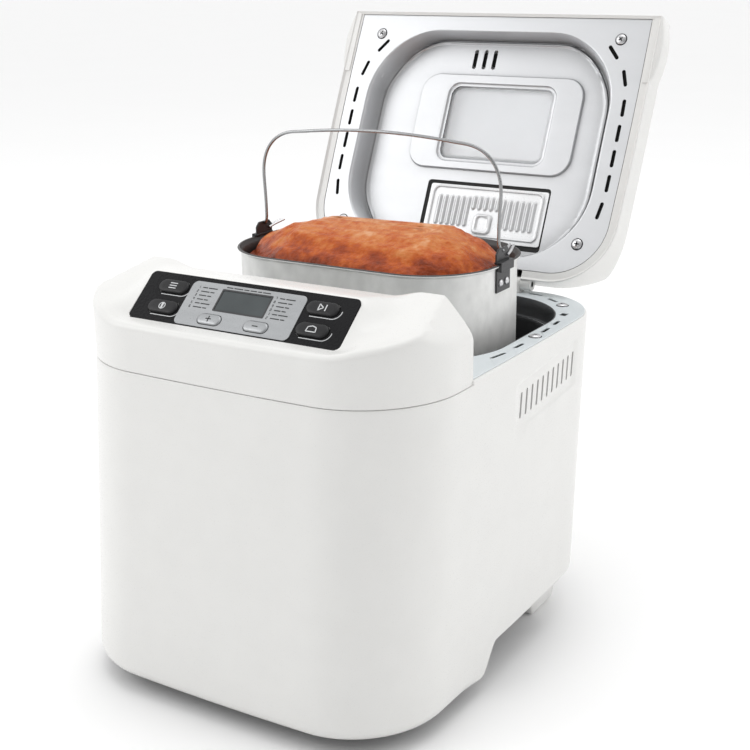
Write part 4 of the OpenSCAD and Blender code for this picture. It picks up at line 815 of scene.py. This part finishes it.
def oven():
    """A liner as one loop of rings: up outside, in at the rim, down to the bright step, then the dark walls. The step
    has the liner's grey; the rest is near-black, painted shade of the deep oven.
    """
    def mouth(inset, z):
        return ring(rrect(OVEN_W - 2 * inset, OVEN_D - 2 * inset, OVEN_R - inset, 14, 0, OVEN_Y), z)
    def wall(inset, z):
        return ring(rrect(239.4 - 2 * inset, 191.4 - 2 * inset, 59.7 - inset, 14, 0, OVEN_Y), z)
    rings = [wall(0, 52.6), wall(0, 217)]
    rings += [mouth(inset, z) for inset, z in (
        (0, 218.4), (0, DECK - 0.3), (0.2, DECK - 0.1), (0.7, DECK - 0.1), (1.0, DECK - 0.5), (1.0, 228), (1.0, 221.5),
        (1.2, 220.8), (1.7, 220.3), (2.6, 220.1))]
    step = len(rings) - 1
    rings += [wall(inset, z) for inset, z in ((0.6, 220.1), (1.2, 219.6), (1.5, 218.8))]
    rings += [wall(1.6, z) for z in (217, 190, 150, 110, 70)]
    rings += [wall(1.6 + 9 * (1 - cosd(a)), 62.2 - 9 * sind(a)) for a in (30, 60, 90)]
    rings += [disc(rings[-1], r, z) for r, z in ((40, OVEN_FLOOR), (11, OVEN_FLOOR), (11, 52))]
    rings += [wall(9, 52), wall(2, 52.1)]
    v, f = round_loft(rings)
    band = [i // len(rings[0]) for i in range(len(f))]
    which = [0 if b < step else 1 if b == step else 2 for b in band]
    piece("oven_skin", (v, f), "base", [OVEN, STEP, DARK_OVEN], place, ["oven_chamber"], 40, which)


def rim():
    def slots(more):
        return [stadium(x, y, long + more, 3.0 + more, turn) for x, y, long, turn in RIM_SLOTS] + [
            rrect(5.4 + more, 7.5 + more, 0.5, 2, x, y) for x, y in RIM_SQUARES]
    holes = [rrect(OVEN_W, OVEN_D, OVEN_R, 18, 0, OVEN_Y)] + slots(0)
    holes += [rrect(10, 11, 0.5, 2, x, HINGE[0]) for x in POSTS]
    outer = beyond(plan(1.7, side=40), HOUSING_BACK + 0.4)
    pressed("rim_skin", sheet_of(outer, holes, DECK, 1.15), "base", RIM, place, "rim_plate", 0.3)
    # Painted shade: near-black pads under the plate's slots, above the white deck.
    piece("rim_slot_shade", merge(prism(p, 234.02, 234.2) for p in slots(0.8)), "base", SHADE)


oven()
rim()


# ---- pan, loaf, bail
def pan():
    """Up outside, round the bead, where the dark lining starts, and down inside."""
    def wall(g, z):
        return ring(rrect(PAN_W + 2 * g, PAN_D + 2 * g, PAN_R + g, 16, 0, OVEN_Y), z)
    def circle(r, z):
        return disc(wall(0, 0), r, z)
    def bead(a):
        return wall(PAN_T + cosd(a), PAN_TOP - 1.2 + sind(a))
    foot, top = PAN_FOOT, PAN_TOP
    rings = [circle(7, foot), circle(45, foot), wall(-9, foot)]
    rings += [wall(-7 * (1 - sind(a)), foot + 7 * (1 - cosd(a))) for a in (20, 45, 70, 90)]
    rings += [wall(0, z) for z in (foot + 30, foot + 70, foot + 110, top - 3.6)] + [wall(0.5, top - 2.6)]
    rings += [bead(a) for a in range(-60, 13, 24)]
    lining = len(rings) - 1
    rings += [bead(a) for a in range(36, 181, 24)] + [wall(-0.8, top - 2.6), wall(-1.5, top - 4.0)]
    rings += [wall(-PAN_T, z) for z in (top - 8, top - 40, top - 80, top - 120)]
    rings += [wall(-PAN_T - 8 * (1 - cosd(a)), foot + 9.6 - 8 * sind(a)) for a in (25, 50, 75, 90)]
    rings += [circle(45, foot + PAN_T), circle(7, foot + PAN_T), circle(7, foot)]
    v, f = loft(rings, False)
    which = [int(i // len(rings[0]) >= lining) for i in range(len(f))]
    piece("pan_skin", (v, f), "pan", [ALLOY, COAT], place, ["bread_pan"], 50, which)


def loaf():
    """The baked dough: straight sides in the pan, and a dome with lumps, creases and a flattened top."""
    def wall(inset):
        return rrect(PAN_W - 9.4 - 2 * inset, PAN_D - 9.4 - 2 * inset, max(PAN_R - 4.7 - inset, 3), 20, 0, OVEN_Y)
    def crown(x, y):
        """Height over the pan's top."""
        dome = 31.5 * max(1 - (x / 101.5) ** 2 - ((y - OVEN_Y) / 65.5) ** 2, 0) ** 0.64 - 8
        lump = noise.noise(Vector((x / 34, y / 30, 0.7))) * 3.4
        crease = noise.noise(Vector((x / 12, y / 9, 4.2))) * 2.6
        pit = noise.noise(Vector((x / 5, y / 4, 9.0))) * 1.0
        top = dome + (lump + crease) * min(1.0, (dome + 9) / 8) + pit - 0.6
        return min(top, 18 + 6.2 * math.tanh(max(top - 18, 0) / 6.2))
    foot, top = PAN_FOOT, PAN_TOP
    rings = [ring(wall(inset), z) for inset, z in (
        (9, foot + 2.3), (3, foot + 4), (0, foot + 9), (0, top - 90), (0, top - 50), (0, top - 24),
        (-0.2, top - 14), (-0.2, top - 10))]
    for inset in (0.0, 0.4, 1.0, 1.8, 2.8, 4, 5.5, 7.2, 9.2, 11.5, *np.arange(14, 57, 2.6)):
        p = wall(inset)
        rings.append(ring(p, [top + crown(x, y) for x, y in p]))
    o = piece("loaf_crust", loft(rings), "pan", CRUST, place, ["bread_loaf"], 180)
    s = o.modifiers.new("fine", "SUBSURF")
    s.levels = s.render_levels = 1


def bail():
    """The wire: hooked through both brackets, bent over at the corners and slightly bowed along its top."""
    z0 = PAN_TOP + 8
    half = [(104.1, z0), (100.6, z0 + 0.2), (100.0, z0 + 1.4), (100.1, z0 + 18), (100.9, z0 + 32)]
    half += [(67 + 34.4 * cosd(a) ** 0.85, z0 + 40 + 33.2 * sind(a) ** 0.9) for a in range(0, 91, 9)]
    top = [(x, z0 + 73.2 + 4.0 * (1 - (x / 67) ** 2)) for x in np.linspace(-60, 60, 25)]
    path = [(-x, z) for x, z in half] + top + half[::-1]
    p = np.array([(x, OVEN_Y, z) for x, z in path])
    d = np.concatenate([[0], np.cumsum(np.linalg.norm(np.diff(p, axis=0), axis=1))])
    q = np.column_stack([np.interp(np.linspace(0, d[-1], 170), d, p[:, i]) for i in range(3)])
    for _ in range(6):
        q[1:-1] = 0.25 * q[:-2] + 0.5 * q[1:-1] + 0.25 * q[2:]
    piece("bail_wire", tube(q, 1.2, 18), "bail", WIRE, place, ["bail_handle"], 60)


def bracket(side, s):
    """A bent strip: riveted below the rim, curled over it, then a short ear round the bail's pivot; a bright
    spring lies beside it."""
    wall, y, top = 103.02, OVEN_Y, PAN_TOP
    def strip(x0, x1, outline):
        return crossbar([(y + a, top + b) for a, b in outline], s * x0, s * x1)
    low = strip(wall, wall + 1.4, [(-10.5, -20.5), (10.5, -20.5), (10.5, -3.6), (-10.5, -3.6)])
    curl = strip(wall + 1.2, wall + 4.6, [(-10, -5.2), (10, -5.2), (10, 1.5), (-10, 1.5)])
    bridge = strip(wall - 1.3, wall + 4.4, [(-10, 0.1), (10, 0.1), (10, 1.6), (-10, 1.6)])
    ear = strip(wall - 0.6, wall + 0.8, [(-10, -0.5), (10, -0.5), (10, 7), (6.5, 10.5), (-6.5, 10.5), (-10, 7)])
    pressed("bracket_" + side, merge([low, curl, bridge, ear]), "pan", BRACKET, place, "bail_bracket_" + side,
            0.35)
    path = [(wall + 1.6, y + 5.0, top + 4.4), (wall + 1.0, y + 11.5, top + 6.0), (wall - 1.4, y + 21, top + 8.2)]
    wires = [tube([(s * (x - dx), y, z + dz) for x, y, z in path], 1.0, 12) for dx, dz in ((0, 0), (3.0, 0.4))]
    piece("spring_" + side, merge(wires), "pan", SCREW)


def rivets():
    head = [(1.5, -1.5), (2.7, 0.0), (2.6, 0.6), (1.9, 1.2), (0.9, 1.5), (0.01, 1.55)]
    heads = [turned(head, (s * 104.42, OVEN_Y + y, PAN_TOP - 14.0), (s, 0, 0), 20)
             for s in (-1, 1) for y in (-4.6, 4.6)]
    piece("rivet_heads", merge(heads), "pan", SCREW, place, ["bracket_rivets"])


pan()
loaf()
bail()
bracket("left", -1)
bracket("right", 1)
rivets()

# ---- lid
GRIP_R, GRIP_OUT, GRIP_HALF = 80, 4.6, 27
DISH_W, DISH_D, DISH_R, DISH_Y, DISH_DEPTH = 223.0, 186.0, 61.0, 22.0, 17
EMBOSS = (150, 83, 17, 7, 2)  # width, depth, radius and middle
WINDOW_AT = (8.5, 2.5)
MOUTH_AT, FLAP_AT = (13.4, 79.5), (14.9, 78)
LID_SLOTS = [(s * x, y, s * turn) for s in (-1, 1) for x, y, turn in (
    (105.4, -56.3, 50), (118.8, -35.7, 72), (122.7, -11.7, 88), (122.8, 8.7, 90), (122.8, 29, 90),
    (122.8, 49, 91), (120.6, 71, 100))]
LID_VENTS = [(9 * i - 14.5, -53) for i in (-1, 0, 1)]


def prisms(outlines, z0, z1):
    """Cutters for the lid."""
    return [bare("cutter", prism(p, z0, z1), lid) for p in outlines]


def lid_walls():
    """The lid's cover: a flat top that falls to the sides and the back, and thin walls down to its edge."""
    def rim_of(inset):
        p = beyond(lid_plan(inset), LID_FRONT + inset)
        return np.vstack([p, [p[-1] + (p[0] - p[-1]) * i / 90 for i in range(1, 90)]])
    outer = rim_of(0)
    g = grid((-138, -86), (139, 132), (3.0, 3.0))
    lines = [(rim_of(d), True) for d in (0.2, 0.6, 1.3, 2.2, 3.3, 4.6)]
    v, f = triangles(outer, [], lines, g[inside(g, rim_of(5.6))])
    ax = np.abs(v[:, 0])
    side, rear = 260 + (140 - ax) * 24 / 22, 260 + (132 - v[:, 1]) * 24 / 22
    z = softmin(softmin(side, rear, 6.0), np.full_like(ax, 287.0), 5.0) - drop(polydist(v, outer), 4.5)
    levels = (256, 249, 242, 236.3, 235.6)
    def at(x, y, z, j, level):
        s = 1 - 0.6 / 140 if level == levels[-1] else 1
        return x * s, y * s, min(level, z - 0.5 * (j + 1))
    up = Vector(lid((0, 0, 300))) - Vector(lid((0, 0, 200)))
    return wall_inward(bare("lid_walls", walled(v, f, z, levels, at), lid), up, 2.5)


def grip(s):
    """A bulge of the lid's side for the fingers."""
    cx, cy, x_in = s * (140 + GRIP_OUT - GRIP_R), LID_FRONT + GRIP_HALF, s * 134
    rings = []
    for z, k in ((236.3, 1.6), (236.8, 0.7), (237.8, 0.2), (239.4, 0),
                 (250, 0), (253, 0.4), (255.5, 1.3), (257.5, 2.8)):
        p = []
        for y in cy + np.linspace(-1, 1, 29) * GRIP_HALF:
            x = cx + s * math.sqrt((GRIP_R - k) ** 2 - (y - cy) ** 2)
            p.append((x if s * x > 134 else x_in, max(y, LID_FRONT + 0.2)))
        rings.append(ring(p + [(x_in, cy + GRIP_HALF), (x_in, LID_FRONT + 0.2)], z))
    return bare("grip", loft(rings), lid)


def lid_shell():
    def notches():
        return prisms([rrect(10.4, 20, 0.4, 2, x, HINGE[0] + 0.5) for x in POSTS], 230, 247.6)
    o = lid_walls()
    through = prisms([rrect(102, 71, 12, 8, 7, -2), rrect(116, 52, 6, 8, 7, 74)], 240, 300)
    cut(o, through + prisms([rrect(127, 59, 6, 8, 7, 74)], 285.8, 300) + notches())
    inner = beyond(lid_plan(7.5, 40), LID_FRONT + 2.4)
    ledge = cut(bare("ledge", sheet_of(beyond(lid_plan(1.2), LID_FRONT + 1.2), [inner], 237.9, 0.7), lid), notches())
    y, z = HINGE
    knuckle = [(y - 1.4, z + 5), (y - 4.4, z + 5), (y - 4.4, z)] + arc(y, z, POST_R, range(200, 451, 14))
    knuckles = [bare("knuckle", crossbar(knuckle, x - 4.5, x + 4.5), lid) for x0 in POSTS for x in (x0 - 9.3, x0 + 9.3)]
    o = join("lid_skin", [o, ledge, grip(-1), grip(1)] + knuckles)
    coated(o, WHITE, 36, "lid", ["lid_shell"])


def plate_height(x, y):
    """The pressed plate: a deep dish with a rib round its floor, an emboss, and a raised frame of the window."""
    s = -boxdist(x, y, DISH_W, DISH_D, DISH_R, 0, DISH_Y)
    run = 2.6 + 4.4 * smooth(np.abs(x), 60, 100)
    h = LID_FACE + DISH_DEPTH * smooth(s, -0.5, run) - 1.2 * (1 - smooth(np.abs(s - run - 1.6), 0.4, 1.4))
    h = h - 2.2 * (1 - smooth(boxdist(x, y, *EMBOSS), -1.2, 0)) * (s > 10)
    return h + 1.4 * (1 - smooth(boxdist(x, y, 97, 66, 9, *WINDOW_AT), 0.3, 1.5))


def lid_plate():
    edge = LID_FRONT + 2.8
    outer = beyond(lid_plan(8.0, 40), LID_FRONT + 2.9)[1:-1]
    outer = np.vstack([[(outer[0][0], edge)], outer, [(outer[-1][0], edge)]])
    holes = [rrect(94, 63, 8, 8, *WINDOW_AT), rrect(113, 53, 3, 5, *MOUTH_AT)]
    holes += [stadium(x, y, 14, 3.0, turn) for x, y, turn in LID_SLOTS]
    holes += [stadium(x, y, 17, 3.6, 90) for x, y in LID_VENTS]
    rims = [rrect(DISH_W - 2 * k, DISH_D - 2 * k, DISH_R - k, 18, 0, DISH_Y) for k in (
        -1.0, -0.6, 0.0, 0.6, 1.2, 1.8, 2.4, 3.0, 3.6, 4.2, 4.8, 5.3, 5.8, 6.3, 6.8, 7.2, 7.6,
        8.1, 8.7, 9.6, 11.0, 13.0)]
    w, d, r, *at = EMBOSS
    rims += [rrect(w - 2 * k, d - 2 * k, r - k, 10, *at) for k in (-0.3, 0.1, 0.5, 0.9, 1.3, 1.8)]
    rims += [rrect(97 + 2 * k, 66 + 2 * k, 9 + k, 8, *WINDOW_AT) for k in (0.2, 0.5, 0.8, 1.1, 1.4, 1.8)]
    v, f = triangles(outer, holes, [(p, True) for p in rims], scattered(outer, holes, 5))
    z = plate_height(*v.T)
    o = bare("lid_pan", thick(v, f, z, z + 1.0), lid)
    cut(o, prisms([rrect(18, 30, 0.4, 2, x, 140) for x in POSTS], 230, 250))
    edit(o, outward)
    coated(o, PLATE, 40, "lid", ["lid_plate"])
    # Painted shade: near-black pads behind the plate's slots and vents.
    slot_shades = [prism(stadium(x, y, 15.4, 4.4, turn), 238.55, 239.0) for x, y, turn in LID_SLOTS]
    slot_shades += [prism(stadium(x, y, 12, 5, 90), 255.55, 256.0) for x, y in LID_VENTS]
    piece("lid_slot_shade", merge(slot_shades), "lid", SHADE, lid)


def flap():
    """The dispenser's door: ribs, a raised border and a finger tab, all pressed in one sheet."""
    def height(x, y):
        u, w = x - FLAP_AT[0], y - FLAP_AT[1]
        h = 253.9 - 0.9 * (1 - smooth(np.abs(boxdist(u, w, 100, 39.5, 5)), 0.4, 1.1))
        for i in range(17):
            c = (i - 8) * 5.4
            half, mid = (5.5, -8.0) if abs(c) < 14 else (12.5, 0.0)
            q = w - np.clip(w, mid - half + 1.3, mid + half - 1.3)
            h -= 1.4 * (1 - smooth(np.hypot(u - c, q), 0.9, 1.7))
        h -= 1.5 * (1 - smooth(boxdist(u, w, 17, 17, 4, 0, 9.5), -1.1, 0))
        return h + 1.0 * (1 - smooth(boxdist(u, w, 11, 13, 3, 0, 9.5), -0.9, 0))
    door = sheet_of(rrect(108, 45.7, 2, 4, FLAP_AT[0], FLAP_AT[1] + 0.9), [], height, -1.0, 0.9)
    pressed("flap_skin", door, "flap", FLAP, lid, "dispenser_flap", 0.2)
    gasket = sheet_of(rrect(115, 55, 3, 5, *MOUTH_AT), [rrect(104, 43.5, 1.5, 4, *FLAP_AT)], 254.95, -3.5)
    piece("flap_gasket", gasket, "lid", RUBBER, lid, ["dispenser_seal"])


def window():
    def height(x, y):
        return 256.4 - 0.7 * smooth(-boxdist(x, y, 92, 61, 7, *WINDOW_AT), 0, 1.2)
    glass = sheet_of(rrect(98, 67, 9.5, 8, *WINDOW_AT), [], height, -2.4, 1.5)
    piece("window_pane", glass, "lid", GLASS, lid, ["lid_window"])


lid_shell()
lid_plate()
flap()
dressed("dispenser_bin", FLAP, 0.3, 2)
dressed("dispenser_cover", WHITE, 0.9, 3)
dressed("dispenser_latch", BLACK, 0.4, 2)
window()
dressed("window_seal", GREY, 0.3, 2)

# ---- pieces that keep their CAD shape
for node, m, width, slot in (
        ("base_plate", BLACK, 0.8, "black_plastic"), ("front_feet", RUBBER, 1.2, "black_rubber"),
        ("rear_feet", WHITE, 2.0, "white_plastic"), ("cord_gland", RUBBER, 0.7, "black_rubber"),
        ("pan_foot", ALLOY, 0.5, "pan_metal"), ("kneading_paddle", COAT, 0.9, "black_plastic"),
        ("pan_seat", SEAT, 0.3, "seat_metal"), ("motor_body", MOTOR, 1.2, "motor_shell"),
        ("motor_bracket", SEAT, 0.3, "seat_metal"), ("heating_element", HEATER, 0, "heater_sheath")):
    dressed(node, m, width, 3)
for slot, m, nodes in (
        ("screw_steel", SCREW, ("base_screws", "housing_screws")),
        ("circuit_board", BOARD, ("lcd_module", "control_board", "power_board")),
        ("shaft_steel", SHAFT, ("oven_sensor", "drive_shaft", "motor_shaft", "pan_shaft", "flap_pin", "cover_pins")),
        ("shaft_steel", GREY, ("hinge_pins",)),
        ("bush_brass", BRASS, ("drive_bearing", "pan_bush")),
        ("grey_plastic", GREY, ("drive_pulley", "motor_pulley")),
        ("black_rubber", RUBBER, ("drive_belt",))):
    for node in nodes:
        o = frame["nodes"][node]
        o.data.materials.clear()
        o.data.materials.append(m)


# ---- floor, light, camera
def floor():
    me = bpy.data.meshes.new("floor")
    me.from_pydata([(x, y, -0.0006) for x, y in ((-40, -40), (40, -40), (40, 40), (-40, 40))], [], [(0, 1, 2, 3)])
    pale = mat("floor_pale", (0.965, 0.965, 0.965), 0.7, grain=60, depth=0.0, tint=0.004, spec=0.1, mottle=3)
    me.materials.append(pale)
    linked("floor", me)


def light(name, at, size, power):
    data = bpy.data.lights.new(name, "AREA")
    data.shape, data.size, data.energy = "DISK", size, power
    o = linked(name, data)
    o.location = at
    o.rotation_euler = (Vector((0.0, -0.02, 0.2)) - Vector(at)).to_track_quat("-Z", "Y").to_euler()


def studio():
    """White all round, dimmer from the camera's side so that the front keeps its shape."""
    world = scene.world = bpy.data.worlds.new("studio")
    world.use_nodes = True
    t = world.node_tree
    ahead = shader(t, "TexCoord", {}).outputs["Generated"]
    dot = shader(t, "VectorMath", {0: ahead, 1: (0.51, -0.82, 0.26)}, operation="DOT_PRODUCT")
    strength = remap(t, dot.outputs["Value"], 0.35, 1.0, 1.1, 0.38)
    feed(t, t.nodes["Background"], {"Color": (1, 1, 1, 1), "Strength": strength})


def camera():
    """The photo's camera, fitted to its silhouette: bearing, height, roll, distance and lens."""
    az, el, roll = (math.radians(a) for a in (31.705, 17.542, -0.653))
    dist, middle = 0.975423, (22.898, -18.0, 200.792)
    back = Vector((math.sin(az) * math.cos(el), -math.cos(az) * math.cos(el), math.sin(el)))
    side = Vector((math.cos(az), math.sin(az), 0))
    up = back.cross(side)
    x, y = math.cos(roll) * side + math.sin(roll) * up, -math.sin(roll) * side + math.cos(roll) * up
    data = bpy.data.cameras.new("camera")
    data.sensor_width, data.lens = 36, 64.4725
    data.clip_start, data.clip_end = 0.01, 50
    scene.camera = linked("camera", data)
    at = Vector(place(middle)) + dist * back
    scene.camera.matrix_world = Matrix([(x[i], y[i], back[i], at[i]) for i in range(3)] + [(0, 0, 0, 1)])


floor()
light("key", (-1.6, -1.3, 1.5), 1.4, 10)
light("side", (1.9, 0.7, 1.2), 1.4, 4.5)
light("top", (0.1, 0.3, 2.3), 1.6, 9)
studio()
camera()
scene.render.resolution_x = scene.render.resolution_y = 750
scene.view_settings.view_transform = "Standard"
scene.render.engine = "CYCLES"
scene.cycles.samples = 96
